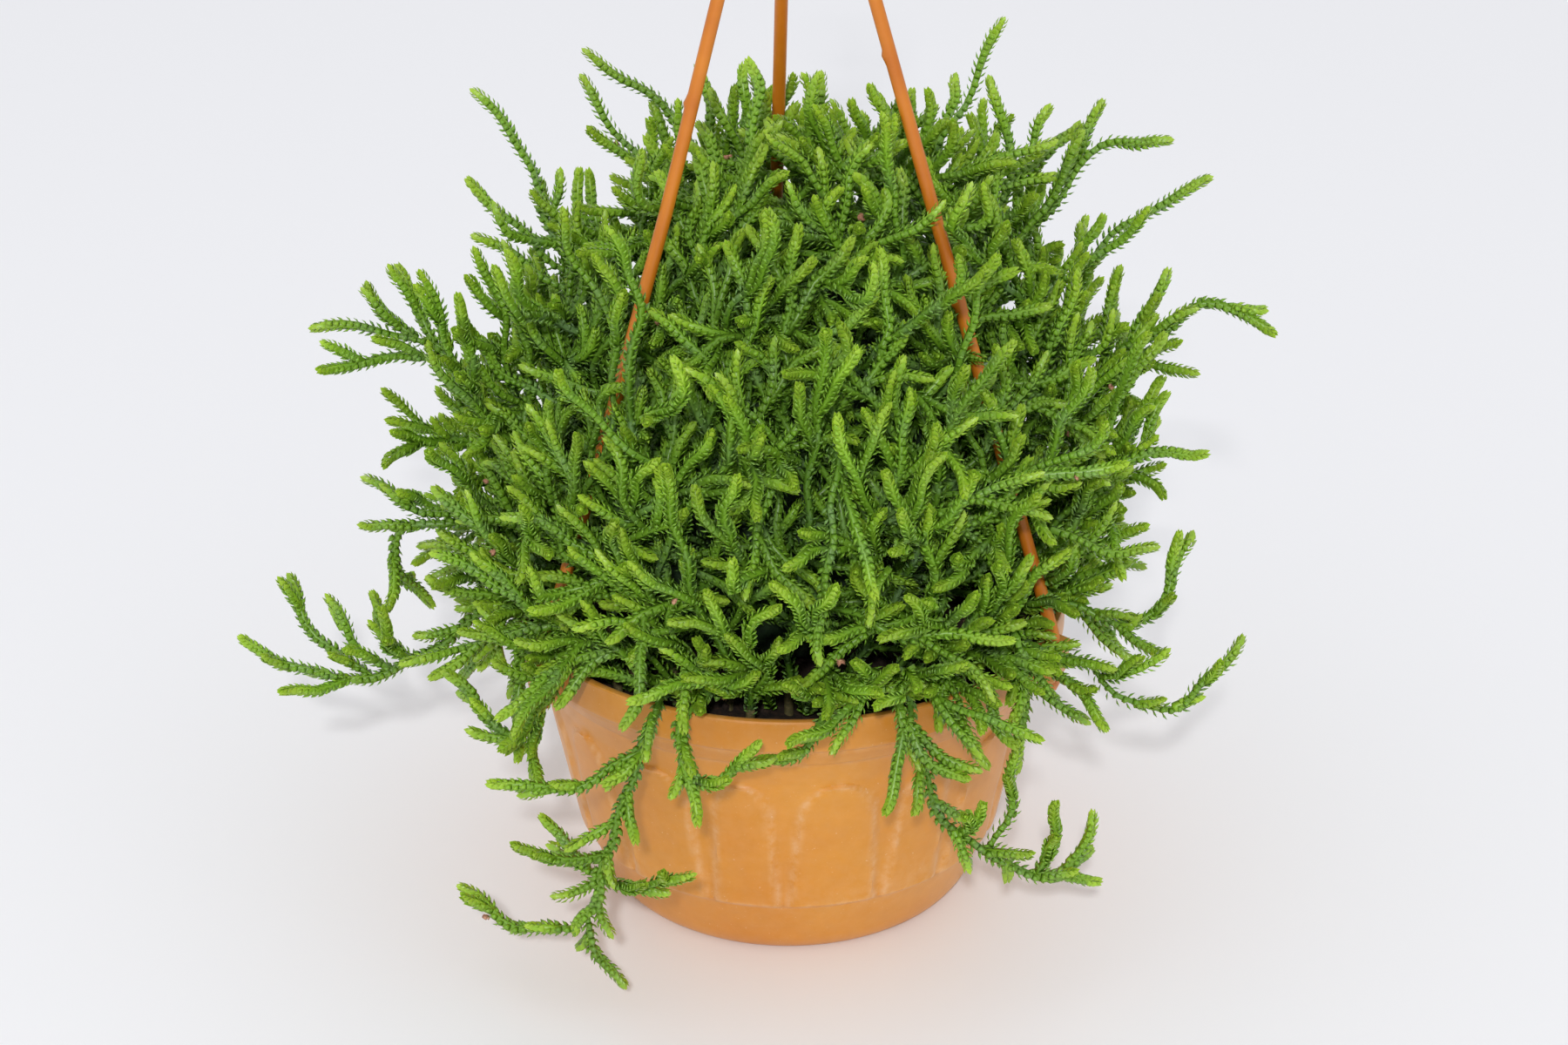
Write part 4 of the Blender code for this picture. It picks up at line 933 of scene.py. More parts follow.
# The hub, with a socket for each rod, and the hook that hangs on a rail
def makeHook(material):
    low, high, wide = hanger["hubBase"], hanger["hubBase"] + hanger["hubHeight"], hanger["hubRadius"]
    soft = hanger["hubRound"]
    outline = [(0.0, low), (wide - soft, low), (wide - 0.3 * soft, low + 0.3 * soft), (wide, low + soft)]
    outline += [(wide - 0.2 * mm, low + 4 * mm), (6.6 * mm, high - 4 * mm), (5.2 * mm, high - soft)]
    outline += [(4.8 * mm, high - 0.3 * soft), (4.0 * mm, high), (0.0, high)]
    hub = makePiece("moulded_hook", *turnedBody(outline, hanger["hubSides"]), [material])
    bend, steps = hanger["hookBend"], hanger["hookSteps"]
    middle = high + hanger["hookStem"] + bend
    line = [(0.0, 0.0, high - 4 * mm), (0.0, 0.0, high + 2 * mm)]
    for step in range(steps):
        turn = math.radians(-90 + hanger["hookArc"] * step / (steps - 1))
        line.append((bend * math.cos(turn), 0.0, middle + bend * math.sin(turn)))
    line = evenPoints(smoothPath(line, hanger["rodStep"]), hanger["rodStep"])
    combine(hub, [makePiece("wire", *sweptTube(line, hanger["hookWire"], 16), [material])], "UNION")
    sockets = []
    for azimuth in hanger["azimuths"]:
        at = around(azimuth, hanger["hubCircle"], 0.0)
        top = low + hanger["socketDepth"]
        sockets.append(uprightCylinder(hanger["rodHole"], low - 3 * mm, top, at, hanger["roundSides"]))
    combine(hub, sockets, "DIFFERENCE")
    shadeMoulding(hub)
    placePiece(hub, "rod_plastic", "hanger_hook")


# Peat


def soilLumps(x, y):
    rise = 0.0
    for size, height in soil["lumps"]:
        rise += height * noise.noise(Vector((x / (size * mm), y / (size * mm), size)))
    return rise * mm


# The peat: a lumpy top, and the bowl's own inside below it
def makeSoil(peat, fibre):
    inside = [(r, z) for r, z in innerWall() if z < soil["top"] and r > 0]
    last, above = inside[-1], innerWall()[len(inside) + 1]
    share = (soil["top"] - last[1]) / (above[1] - last[1])
    edge = last[0] + (above[0] - last[0]) * share - 2 * gap
    outline = [(0.0, pot["floor"] + gap)]
    outline += [(r - 1.2 * gap, z + (gap if z <= pot["floor"] else 0.0)) for r, z in inside]
    outline += [(edge * math.sqrt(t), soil["top"]) for t in np.linspace(1.0, 0.004, soil["rings"])]
    outline.append((0.0, soil["top"]))
    corners, tables = turnedBody(outline, soil["columns"])
    for corner in corners:
        if corner[2] > soil["top"] - 0.1 * mm:
            corner[2] += soilLumps(corner[0], corner[1]) - soil["lumpSink"]
    placePiece(makePiece("peat_bed", corners, tables, [peat]), "peat", "soil")
    draw = random.Random(soil["seed"])
    layCrumbs(draw, edge, peat)
    layFibres(draw, edge, fibre)
    print("peat laid")


def layCrumbs(draw, edge, peat):
    crumbs = bmesh.new()
    for _ in range(soil["crumbs"]):
        at = around(draw.uniform(0, 360), (edge - 1.5 * mm) * math.sqrt(draw.uniform(0.1, 1.0)), 0.0)
        at[2] = soil["top"] + soilLumps(at[0], at[1]) - soil["crumbSink"]
        size = draw.uniform(*soil["crumbSize"]) * mm
        made = bmesh.ops.create_icosphere(crumbs, subdivisions=1, radius=1.0)["verts"]
        stretch = [size * draw.uniform(*soil["crumbStretch"]) for _ in range(3)]
        for vert in made:
            rough = 1.0 + soil["crumbRough"] * noise.noise(Vector(vert.co) * 1.7 + Vector(at) * 900)
            vert.co = Vector(at) + Vector([vert.co[axis] * stretch[axis] * rough for axis in range(3)])
    crumbs = shapeToObject("peat_crumbs", crumbs)
    crumbs.data.materials.append(peat)
    placePiece(crumbs, "peat")


def layFibres(draw, edge, fibre):
    store = MeshStore()
    for _ in range(soil["fibres"]):
        azimuth, reach = draw.uniform(0, 360), math.sqrt(draw.uniform(0.1, 1.0))
        at = around(azimuth, (edge - 4 * mm) * reach, soil["top"] + 0.5 * mm)
        turn, length = draw.uniform(0, 2 * math.pi), draw.uniform(*soil["fibreLength"]) * mm
        way = np.array([math.cos(turn), math.sin(turn), 0.0])
        bow = np.array([-way[1], way[0], draw.uniform(0.0, 0.9)]) * length * draw.uniform(-0.3, 0.3)
        bow[2] = abs(bow[2])
        line = smoothPath([at - way * length / 2, at + bow, at + way * length / 2], length / 6)
        store.add(*sweptTube(line, draw.uniform(*soil["fibreRadius"]) * mm, 4))
    placePiece(store.piece("peat_fibres", [fibre]), "peat")


# The bush: where every stem goes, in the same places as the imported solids

layout = {
    "stemRadius": 2.6 * mm,
    "tipPitch": 6.2 * mm,
    "oldPitch": 12.0 * mm,
    "agingLength": 45 * mm,
    "pathStep": 3.0 * mm,
    "spotStep": 2 * mm,
    "rodSpace": 9 * mm,
    "rodMargin": 0.5 * mm,
    "earMargin": 7.0 * mm,
    "potRoom": 1.5 * mm,
    "coreRoom": 1.2 * mm,
    "lack": 0.25 * mm,
    "rootedFixed": 7,
    "footFixed": 2,
    "bendRounds": 36,
    "bendKeep": 0.8,
    "bendStill": 0.02 * mm,
    "nearby": 14 * mm,
    "outerFavour": 3,
    "extraAbove": 16,
    "extraEnds": 7.0,
    "extraLength": (5.0, 15.0),
    "extraPitch": (8.0, 14.0),
    "extraLack": 0.8 * mm,
    "slotTries": 6,
    "moundTries": 4,
    "seed": 2024,
}
layout["clearance"] = 2.0 * layout["stemRadius"] + 0.7 * mm
layout["moundClearance"] = layout["clearance"] - 1.0 * mm

bush = {
    "centre": np.array([0.0, 0.0, 150.0]) * mm,
    "coreCentre": np.array([0.0, 0.0, 136.0]) * mm,
    "coreRadius": 61.0 * mm,
    "coreRise": 67.0 * mm,
    "coreSpike": 8.0 * mm,
    "shellRadius": 104.0 * mm,
    "shellRise": 98.0 * mm,
    "neckHeight": 104 * mm,
    "moundSprays": 42,
    "moundShare": 0.95,
    "innerLift": (8, 52),
    "outerLift": (-24, 16),
    "footSway": 7,
    "tipSway": 10,
    "sprayReach": (0.93, 1.05),
    "sprayCurl": (6, 12),
    "moundReach": (0.9, 1.03),
    "moundCurl": (4, 9),
    "ruleShoots": {"counts": (1, 1, 2), "shares": (0.52, 0.9), "lengths": (17, 30), "sag": 0.10},
    "moundShoots": {"counts": (0, 1, 1), "shares": (0.4, 0.75), "lengths": (16, 28), "sag": 0.08},
    "guidedSag": 0.06,
    "crownSag": 0.04,
    "crownDrop": 12 * mm,
}
bush["shell"] = np.array([bush["shellRadius"], bush["shellRadius"], bush["shellRise"]])

# Sprays with a way of their own: places on the main stem from the rim on, and the side shoots, each by its
# share of the stem and its tip
trailingSprays = {
    "spray_front_left_trailer": (
        [(-36, -73, 101), (-42, -86, 90), (-48, -92, 74), (-53, -94, 58), (-56, -92, 44), (-62, -90, 30)],
        [
            (0.99, (-96, -72, 31)), (0.74, (-77, -100, 65)), (0.8, (-70, -82, 62)), (0.84, (-30, -106, 59)),
            (0.97, (-51, -92, 13)), (0.42, (-84, -90, 80)),
        ],
    ),
    "spray_front_low_runner": (
        [(-26, -80, 102), (-32, -91, 95), (-24, -99, 85), (-10, -99, 97)],
        [(0.62, (-26, -107, 80)), (0.35, (-26, -84, 122))],
    ),
    "spray_left_drooper": (
        [(-62, -57, 102), (-71, -64, 94), (-78, -72, 84), (-85, -72, 89), (-99, -60, 98)],
        [(0.5, (-76, -72, 108)), (0.62, (-74, -86, 76))],
    ),
    "spray_left_fan": (
        [
            (-75, -28, 104), (-86, -28, 103), (-96, -26, 99), (-107, -25, 88), (-119, -25, 81),
            (-133, -27, 79),
        ],
        [
            (0.99, (-164, -20, 88)), (0.97, (-152, -8, 101)), (0.9, (-138, -20, 101)),
            (0.84, (-127, -10, 96)), (0.78, (-121, -38, 106)), (0.99, (-150, -38, 80)),
        ],
    ),
    "spray_left_loop": (
        [
            (-76, -16, 106), (-90, -13, 127), (-104, -13, 125), (-118, -13, 121), (-119, -12, 109),
            (-110, -8, 96),
        ],
        [(0.42, (-98, -2, 138)), (0.6, (-126, -2, 133))],
    ),
    "spray_left_upper": (
        [(-78, 24, 110), (-92, 26, 128), (-104, 18, 138), (-113, 6, 143), (-118, -2, 150)],
        [(0.5, (-106, 32, 146)), (0.68, (-122, 18, 152))],
    ),
    "spray_left_high": (
        [(-76, 4, 108), (-86, 4, 130), (-94, 4, 155), (-106, 8, 173), (-122, 12, 177), (-141, 15, 177)],
        [
            (0.72, (-137, -8, 174)), (0.76, (-125, 14, 189)), (0.66, (-117, 22, 191)),
            (0.58, (-107, -2, 200)), (0.48, (-96, -14, 198)),
        ],
    ),
    "spray_right_high": (
        [
            (76, 0, 108), (86, 0, 130), (92, 0, 158), (101, 1, 177), (114, 2, 183), (127, 5, 190),
            (142, 0, 183),
        ],
        [(0.62, (113, 17, 192)), (0.66, (118, -12, 174)), (0.5, (98, 14, 194)), (0.42, (106, -14, 162))],
    ),
    "spray_right_middle": (
        [(74, -18, 106), (82, -18, 124), (90, -17, 140), (104, -16, 149), (122, -12, 148)],
        [(0.6, (112, -2, 160)), (0.45, (96, -32, 146))],
    ),
    "spray_right_elbow": (
        [(68, -28, 103), (80, -35, 108), (93, -38, 107), (105, -39, 104), (112, -36, 112), (115, -31, 128)],
        [(0.55, (109, -50, 101)), (0.42, (99, -30, 120))],
    ),
    "spray_right_runner": (
        [(64, -45, 102), (77, -52, 103), (89, -56, 99), (100, -60, 90), (114, -60, 88), (132, -55, 106)],
        [(0.62, (101, -66, 107)), (0.42, (92, -68, 88))],
    ),
    "spray_front_right_trailer": (
        [
            (34, -74, 102), (37, -87, 91), (41, -92, 77), (50, -92, 63), (65, -88, 51), (77, -83, 43),
            (90, -76, 39),
        ],
        [(0.7, (66, -80, 86)), (0.62, (55, -98, 75)), (0.84, (78, -88, 70)), (0.9, (90, -66, 52))],
    ),
    "spray_front_rim_left": (
        [(14, -74, 101), (10, -86, 99), (4, -95, 93), (-7, -95, 90)],
        [(0.45, (8, -92, 108))],
    ),
    "spray_front_rim_right": (
        [(46, -66, 101), (52, -77, 103), (55, -88, 98)],
        [(0.5, (40, -84, 108))],
    ),
}

# Long shoots that rise out of the top and the front of the mound, given in the same way
crownWays = [
    (
        [(-48, 18, 172), (-66, 38, 186), (-76, 55, 200), (-84, 70, 216), (-96, 80, 225)],
        [(0.35, (-97, 60, 204)), (0.25, (-93, 38, 196)), (0.55, (-71, 62, 205))],
    ),
    (
        [(-12, 30, 198), (-29, 52, 221), (-45, 60, 236), (-60, 65, 244)],
        [(0.4, (-26, 62, 240))],
    ),
    (
        [(-26, 24, 194), (-39, 43, 212), (-53, 54, 225), (-62, 60, 237)],
        [(0.5, (-58, 40, 230))],
    ),
    (
        [(-6, 34, 198), (-7, 54, 222), (-10, 62, 240)],
        [(0.3, (-22, 46, 238)), (0.35, (4, 60, 240))],
    ),
    (
        [(6, 30, 200), (7, 46, 222), (10, 52, 241)],
        [],
    ),
    (
        [(32, 30, 190), (45, 52, 218), (55, 63, 233), (64, 70, 252)],
        [(0.4, (42, 46, 238)), (0.5, (52, 78, 231))],
    ),
    (
        [(48, 20, 184), (66, 34, 215), (66, 42, 229), (61, 45, 242)],
        [(0.4, (78, 52, 231))],
    ),
    (
        [(52, 10, 184), (82, 28, 215), (95, 38, 227), (113, 45, 224)],
        [(0.5, (93, 48, 234)), (0.4, (86, 22, 234))],
    ),
    (
        [(56, 8, 170), (88, 22, 194), (106, 36, 204), (126, 45, 211)],
        [(0.5, (106, 18, 212))],
    ),
    (
        [(10, -56, 172), (13, -86, 180), (11, -97, 158), (8, -98, 128)],
        [(0.45, (24, -100, 150))],
    ),
]


# How far the crowded middle reaches from the bush's centre, with soft lumps
def coreReach(direction):
    flat = math.hypot(direction[0], direction[1])
    size = 1.0 / math.sqrt((flat / bush["coreRadius"]) ** 2 + (direction[2] / bush["coreRise"]) ** 2)
    turn = math.atan2(direction[0], -direction[1])
    lumps = math.sin(5 * turn + 3 * direction[2]) * 0.6 + math.sin(3 * turn - 7 * direction[2]) * 0.4
    return size * (1.0 + 0.035 * lumps * flat)


# The pot's wall and the soil's surface as line pieces in (radius, height)
def wallSegments():
    outside = np.array(outerWall())
    inside = np.array([p for p in innerWall() if p[1] > soil["top"] - 3 * mm])
    lines = []
    for line in (outside, inside, np.array([(0.0, soil["top"]), (82.0 * mm, soil["top"])])):
        lines += [(line[i], line[i + 1]) for i in range(len(line) - 1)]
    return np.array([a for a, _ in lines]), np.array([b for _, b in lines])


# What is already placed, and how far a new stem must stay from it
class Room:
    def __init__(self):
        self.spots = np.zeros((0, 3))
        self.spotRoom = np.zeros(0)
        self.low, self.high = wallSegments()

    def add(self, points, room):
        self.spots = np.vstack([self.spots, points])
        self.spotRoom = np.concatenate([self.spotRoom, np.full(len(points), room)])

    def nearby(self, points, margin):
        low, high = points.min(axis=0) - margin, points.max(axis=0) + margin
        inside = np.all((self.spots > low) & (self.spots < high), axis=1)
        return self.spots[inside], self.spotRoom[inside]

    # The shift that would take each point clear of what is placed
    def push(self, points, useCore, spots, room):
        shift = np.zeros_like(points)
        if len(spots):
            apart = points[:, None] - spots[None]
            far = np.linalg.norm(apart, axis=2)
            short = room[None] - far
            worst = short.argmax(axis=1)
            rows = np.arange(len(points))
            need = np.maximum(short[rows, worst], 0.0)
            way = apart[rows, worst] / np.maximum(far[rows, worst], 1e-6)[:, None]
            shift += way * need[:, None]
        shift += self.pushFromPot(points)
        if useCore:
            away = points - bush["coreCentre"]
            far = np.maximum(np.linalg.norm(away, axis=1), 1e-6)
            away /= far[:, None]
            reaches = np.array([coreReach(direction) for direction in away])
            need = reaches + layout["stemRadius"] + layout["coreRoom"] - far
            shift += away * np.maximum(need, 0.0)[:, None]
        return shift

    def pushFromPot(self, points):
        radius = np.maximum(np.hypot(points[:, 0], points[:, 1]), 1e-6)
        flat = np.stack([radius, points[:, 2]], axis=1)
        along = self.high - self.low
        share = np.einsum("psk,sk->ps", flat[:, None] - self.low[None], along)
        share = np.clip(share / np.maximum((along**2).sum(axis=1), 1e-12), 0.0, 1.0)
        apart = flat[:, None] - (self.low[None] + share[..., None] * along[None])
        far = np.linalg.norm(apart, axis=2)
        best = far.argmin(axis=1)
        rows = np.arange(len(points))
        need = np.maximum(layout["stemRadius"] + layout["potRoom"] - far[rows, best], 0.0)
        way = apart[rows, best] / np.maximum(far[rows, best], 1e-6)[:, None]
        out = points[:, :2] / radius[:, None]
        return np.column_stack([out * (way[:, 0] * need)[:, None], way[:, 1] * need])

    # Bends a path clear of what is placed, and returns it with the room that it still lacks
    def bendClear(self, points, fixed, useCore, rounds=layout["bendRounds"]):
        start = points.copy()
        shift = np.zeros_like(points)
        spots, room = self.nearby(points, layout["nearby"])
        for _ in range(rounds):
            push = self.push(start + shift, useCore, spots, room)
            push[:fixed] = 0.0
            if np.abs(push).max() < layout["bendStill"]:
                break
            shift += layout["bendKeep"] * push
            eased = shift.copy()
            eased[1:-1] = 0.25 * shift[:-2] + 0.5 * shift[1:-1] + 0.25 * shift[2:]
            shift[fixed:] = eased[fixed:]
        left = self.push(start + shift, useCore, spots, room)[fixed:]
        return start + shift, float(np.linalg.norm(left, axis=1).max()) if len(left) else 0.0


# Where a side shoot starts, at the ring nearest to its share of the length, and the stem's way there
def shootFoot(stem, share, bare):
    run = runAlong(stem)
    places = ringPlaces(run[-1], bare)[1:]
    place = min(places, key=lambda ring: abs(ring - share * run[-1]))
    along = alongPath(stem, run, place + 2 * mm) - alongPath(stem, run, place - 2 * mm)
    return alongPath(stem, run, place), along / np.linalg.norm(along)


# A side shoot from its place on the main stem to its tip: it leaves along the stem, then curls up
def shootPath(stem, share, tip, sag, bare):
    start, along = shootFoot(stem, share, bare)
    span = np.linalg.norm(tip - start)
    middle = start + 0.5 * (tip - start) + 0.10 * span * along - np.array([0, 0, sag * span])
    return smoothPath([start, middle, tip], layout["pathStep"])


# Bends a spray clear of the others, and returns its branches, or nothing where it can't be freed
def plantSpray(room, stem, bare, shoots, useCore):
    stem, lack = room.bendClear(stem, layout["rootedFixed" if bare else "footFixed"], useCore)
    if lack > layout["lack"]:
        return None
    branches = [evenPoints(stem, layout["pathStep"])]
    for share, tip, sag in shoots:
        path = shootPath(branches[0], share, tip, sag, bare)
        path, lack = room.bendClear(path, layout["footFixed"], useCore)
        if lack <= layout["lack"]:
            branches.append(evenPoints(path, layout["pathStep"]))
    return branches


# Places for roots, in two rows round the soil
def rootSlots():
    return [(i * 360.0 / soil["rootSlots"], soil["rootRows"][i % 2]) for i in range(soil["rootSlots"])]


# Takes the free slot nearest to a place. The outer row's slots count as a little nearer.
def takeSlot(slots, place):
    azimuth = math.degrees(math.atan2(place[0], -place[1]))

    def away(slot):
        favour = layout["outerFavour"] if slot[1] == soil["rootRows"][1] else 0
        return abs((slot[0] - azimuth + 180) % 360 - 180) - favour

    best = min(slots, key=away)
    slots.remove(best)
    return best


# A way that starts upright in the soil at the slot
def rootedWay(slot, way):
    foot = around(slot[0], slot[1], soil["top"] - soil["rootDepth"])
    level = around(slot[0], slot[1], soil["top"] + soil["neck"])
    return [foot, (foot + level) / 2, level] + [np.array(place) for place in way]


# A spray by rule: its main stem climbs from its slot to the shell and curls up, with side shoots
def ruleSpray(draw, slot):
    azimuth = slot[0] + draw.uniform(-bush["footSway"], bush["footSway"])
    inner = slot[1] == soil["rootRows"][0]
    lift = math.radians(draw.uniform(*bush["innerLift" if inner else "outerLift"]))
    reach = draw.uniform(*bush["sprayReach"])
    flat, rise = bush["shellRadius"] * reach * math.cos(lift), bush["shellRise"] * reach * math.sin(lift)
    end = around(azimuth + draw.uniform(-bush["tipSway"], bush["tipSway"]), flat, bush["centre"][2] + rise)
    out = around(azimuth, 1.0, 0.0)
    middle = around(azimuth, slot[1], soil["top"]) * 0.46 + end * 0.54 + out * (7 if inner else 3) * mm
    neck = around(slot[0], slot[1] + 5 * mm, bush["neckHeight"])
    curl = end + out * 5 * mm + np.array([0, 0, draw.uniform(*bush["sprayCurl"]) * mm])
    stem = smoothPath(rootedWay(slot, [neck, middle, end, curl]), layout["pathStep"])
    return stem, ruleShoots(draw, stem, **bush["ruleShoots"])


# Side shoots by rule, each as its share of the stem, its tip and its sag
def ruleShoots(draw, stem, counts, shares, lengths, sag):
    shoots = []
    for _ in range(draw.choice(counts)):
        share, length = draw.uniform(*shares), draw.uniform(*lengths) * mm
        shoots.append((share, ruleTip(draw, stem, share, length), sag))
    return shoots


def ruleTip(draw, stem, share, length):
    index = min(int(round(share * (len(stem) - 1))), len(stem) - 2)
    along = stem[index + 1] - stem[index]
    along /= np.linalg.norm(along)
    out = stem[index] - bush["centre"]
    out /= np.linalg.norm(out)
    side = np.cross(along, out) * draw.choice((-1, 1)) * draw.uniform(0.5, 1.0)
    way = 0.7 * along + 0.6 * side + 0.42 * out + np.array([0, 0, 0.25])
    return stem[index] + way / np.linalg.norm(way) * length


# Where a stem that goes to a place starts, well inside the crowded middle
def coreFoot(place):
    out = place - bush["coreCentre"]
    out /= np.linalg.norm(out)
    return bush["coreCentre"] + out * (coreReach(out) - bush["coreSpike"] - 5 * mm)


# A unit direction at an even spot of the dome, from its top down
def domeSpot(index, count, share, turn=0.0):
    height = 1.0 - share * (index + 0.5) / count
    turn += index * math.pi * (3 - math.sqrt(5))
    flat = math.sqrt(1 - height**2)
    return np.array([flat * math.cos(turn), flat * math.sin(turn), height])


# A short spray that stands out of the crowded middle, at an even spot of the dome
def moundSpray(draw, index):
    out = domeSpot(index, bush["moundSprays"], bush["moundShare"])
    start = coreFoot(bush["coreCentre"] + out)
    lean = np.array([draw.uniform(-1, 1), draw.uniform(-1, 1), draw.uniform(-0.4, 0.8)]) * 0.6
    way = out + lean - out * np.dot(out, lean)
    way /= np.linalg.norm(way)
    end = bush["centre"] + way * bush["shell"] * draw.uniform(*bush["moundReach"])
    curl = end + (out * 4 + np.array([0, 0, draw.uniform(*bush["moundCurl"])])) * mm
    span = np.linalg.norm(end - start)
    stem = smoothPath([start, start + (0.55 * out + 0.45 * way) * span * 0.5, end, curl], layout["pathStep"])
    return stem, ruleShoots(draw, stem, **bush["moundShoots"])


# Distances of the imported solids' rings of leaves from a stem's foot: a side shoot starts at one of them
def ringPlaces(length, bare):
    places = []
    left = 0.0
    while length - left > bare + 0.6 * layout["tipPitch"]:
        places.append(length - left)
        age = min(left / layout["agingLength"], 1.0)
        left += layout["tipPitch"] + (layout["oldPitch"] - layout["tipPitch"]) * age
    if bare:
        places.append(bare - 0.3 * soil["neck"])
    places.append(0.0)
    return places[::-1]


# A rod as points that stems keep clear of
def rodSpots(index):
    return evenPoints(rodLine(index), layout["spotStep"])


# Each rod and its ear as points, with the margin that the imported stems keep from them
def hangerSpots():
    for index, azimuth in enumerate(hanger["azimuths"]):
        yield rodSpots(index), layout["rodMargin"]
        yield around(azimuth, hanger["rodCircle"], pot["height"] - 4 * mm)[None], layout["earMargin"]


def fillRoom(room, branches, clearance=layout["clearance"]):
    for branch in branches:
        room.add(evenPoints(branch, layout["spotStep"]), clearance)


# The sprays with a way of their own, each in the free slot nearest to it
def guidedSprays(room, slots):
    sprays = {}
    for name, (way, shoots) in trailingSprays.items():
        way = [np.array(place) * mm for place in way]
        slot = takeSlot(slots, way[0])
        stem = smoothPath(rootedWay(slot, way), layout["pathStep"])
        shoots = [(share, np.array(tip) * mm, bush["guidedSag"]) for share, tip in shoots]
        branches = plantSpray(room, stem, bareFoot, shoots, True)
        if branches is None:
            print("no room for", name)
            slots.append(slot)
            continue
        sprays[name] = branches
        fillRoom(room, branches)
    return sprays


# The long shoots that rise out of the mound. They may cross each other: they are one body with it.
def crownSprays(room):
    others = Room()
    others.add(room.spots, 0.0)
    others.spotRoom = room.spotRoom.copy()
    made = []
    for way, shoots in crownWays:
        way = [np.array(place) * mm for place in way]
        way.insert(0, coreFoot(way[0] - np.array([0, 0, bush["crownDrop"]])))
        shoots = [(share, np.array(tip) * mm, bush["crownSag"]) for share, tip in shoots]
        branches = plantSpray(others, smoothPath(way, layout["pathStep"]), 0.0, shoots, False)
        if branches is None:
            print("no room for a crown spray at", way[1])
            continue
        made.append(branches)
        fillRoom(room, branches)
    return made


# A spray by rule in each slot that is still free, where one can be bent clear
def slotSprays(room, slots, draw):
    sprays = {}
    for slot in slots:
        branches = None
        for _ in range(layout["slotTries"]):
            stem, shoots = ruleSpray(draw, slot)
            branches = plantSpray(room, stem, bareFoot, shoots, True)
            if branches:
                break
        if branches:
            sprays["spray_%02d" % (len(sprays) + 1)] = branches
            fillRoom(room, branches)
    return sprays


# Short sprays all over the crowded middle, none of which starts beside a rod
def moundSprays(room, draw):
    rods = np.vstack([spots for spots, _ in hangerSpots()])
    made = []
    for index in range(bush["moundSprays"]):
        branches = None
        for _ in range(layout["moundTries"]):
            stem, shoots = moundSpray(draw, index)
            if np.linalg.norm(rods - stem[0], axis=1).min() < layout["rodSpace"]:
                continue
            branches = plantSpray(room, stem, 0.0, shoots, False)
            if branches:
                break
        if branches:
            made.append(branches)
            fillRoom(room, branches, layout["moundClearance"])
    return made


# Every spray's branches: those rooted in the soil, by name, and those that stand out of the mound
def layOutBush():
    draw = random.Random(layout["seed"])
    room = Room()
    for spots, margin in hangerSpots():
        room.add(spots, hanger["rodRadius"] + layout["stemRadius"] + margin)
    slots = rootSlots()
    sprays = guidedSprays(room, slots)
    mound = crownSprays(room)
    sprays.update(slotSprays(room, slots, draw))
    return sprays, mound + moundSprays(room, draw)


# Leafy stems, leaf by leaf

leaf = {
    "length": 2.55 * mm,
    "baseHalf": 0.85 * mm,
    "middleHalf": 1.02 * mm,
    "keel": 0.5 * mm,
    "middle": 0.44,
    "rootSink": 0.75,
    "pairGaps": ((0.0, 4.0, 15.0, 45.0), (0.6, 0.9, 1.2, 1.5)),
    "sizes": ((0.0, 0.8, 2.0, 6.0), (0.6, 0.85, 0.97, 1.0)),
    "sizeVary": (0.88, 1.1),
    "spreads": ((0.0, 1.2, 3.0, 10.0, 45.0), (3.0, 9.0, 18.0, 33.0, 43.0)),
    "spreadVary": 4.0,
    "stemRadii": ((0.0, 1.0, 3.0, 12.0, 40.0), (0.55, 1.05, 1.35, 1.3, 1.2)),
    "fillRadii": ((0.0, 1.0, 3.0, 10.0, 20.0, 40.0), (0.55, 1.25, 1.72, 1.55, 1.25, 1.1)),
    "fillSides": 4,
    "footRadius": 1.45 * mm,
    "footSides": 8,
    "betweenTone": 0.3,
    "softTip": 5.0 * mm,
    "stemStep": 4.5 * mm,
    "pathStep": 1.5 * mm,
    "tipBeyond": 2.5 * mm,
    "twist": 9.0,
    "sway": 0.09,
    "wave": 0.9 * mm,
    "waveLengths": (21.0 * mm, 30.0 * mm),
    "waveStart": 14.0 * mm,
    "limeLength": (5.0, 12.0),
    "limeShares": (0.5, 1.5),
    "darkEnds": (60.0, 110.0),
    "ages": (0.0, 0.1, 0.42, 0.72, 0.95),
    "stemTones": (0.15, 0.85),
    "toneVary": 0.12,
    "ageVary": 0.05,
    # How much older the tone looks deep inside the bush: painted shade
    "paintedShadeAge": 0.25,
    "shadeZone": (0.60, 0.92),
    "deep": 0.5,
    "seed": 9,
}

# A leaf's corners: left and right of its root, left and right of its middle, its keel and its point. The back
# of a leaf at the tip has corners of its own, so that its face shades as one soft curve. A leaf deep in the
# bush has its root, keel and point alone.
leafAlong = np.array([0.0, 0.0, 0.5, 0.5, 0.42, 1.0])
leafFace = [(0, 1, 4), (1, 3, 4), (3, 5, 4), (5, 2, 4), (2, 0, 4)]
grownLeaf = [0, 1, 2, 3, 4, 5], np.array(leafFace + [(0, 2, 3), (0, 3, 1), (2, 5, 3)])
tipLeaf = [0, 1, 2, 3, 4, 5, 0, 1, 2, 3, 5], np.array(leafFace + [(6, 8, 9), (6, 9, 7), (8, 10, 9)])
deepLeaf = [0, 1, 4, 5], np.array([(0, 1, 2), (1, 3, 2), (3, 0, 2), (0, 3, 1)])


# Distances from a tip at which the pairs of leaves stand
def pairSpots(longest):
    spots = [0.4]
    while spots[-1] < longest:
        spots.append(spots[-1] + np.interp(spots[-1], *leaf["pairGaps"]))
    return np.array(spots) * mm


spotsFromTip = pairSpots(320.0)


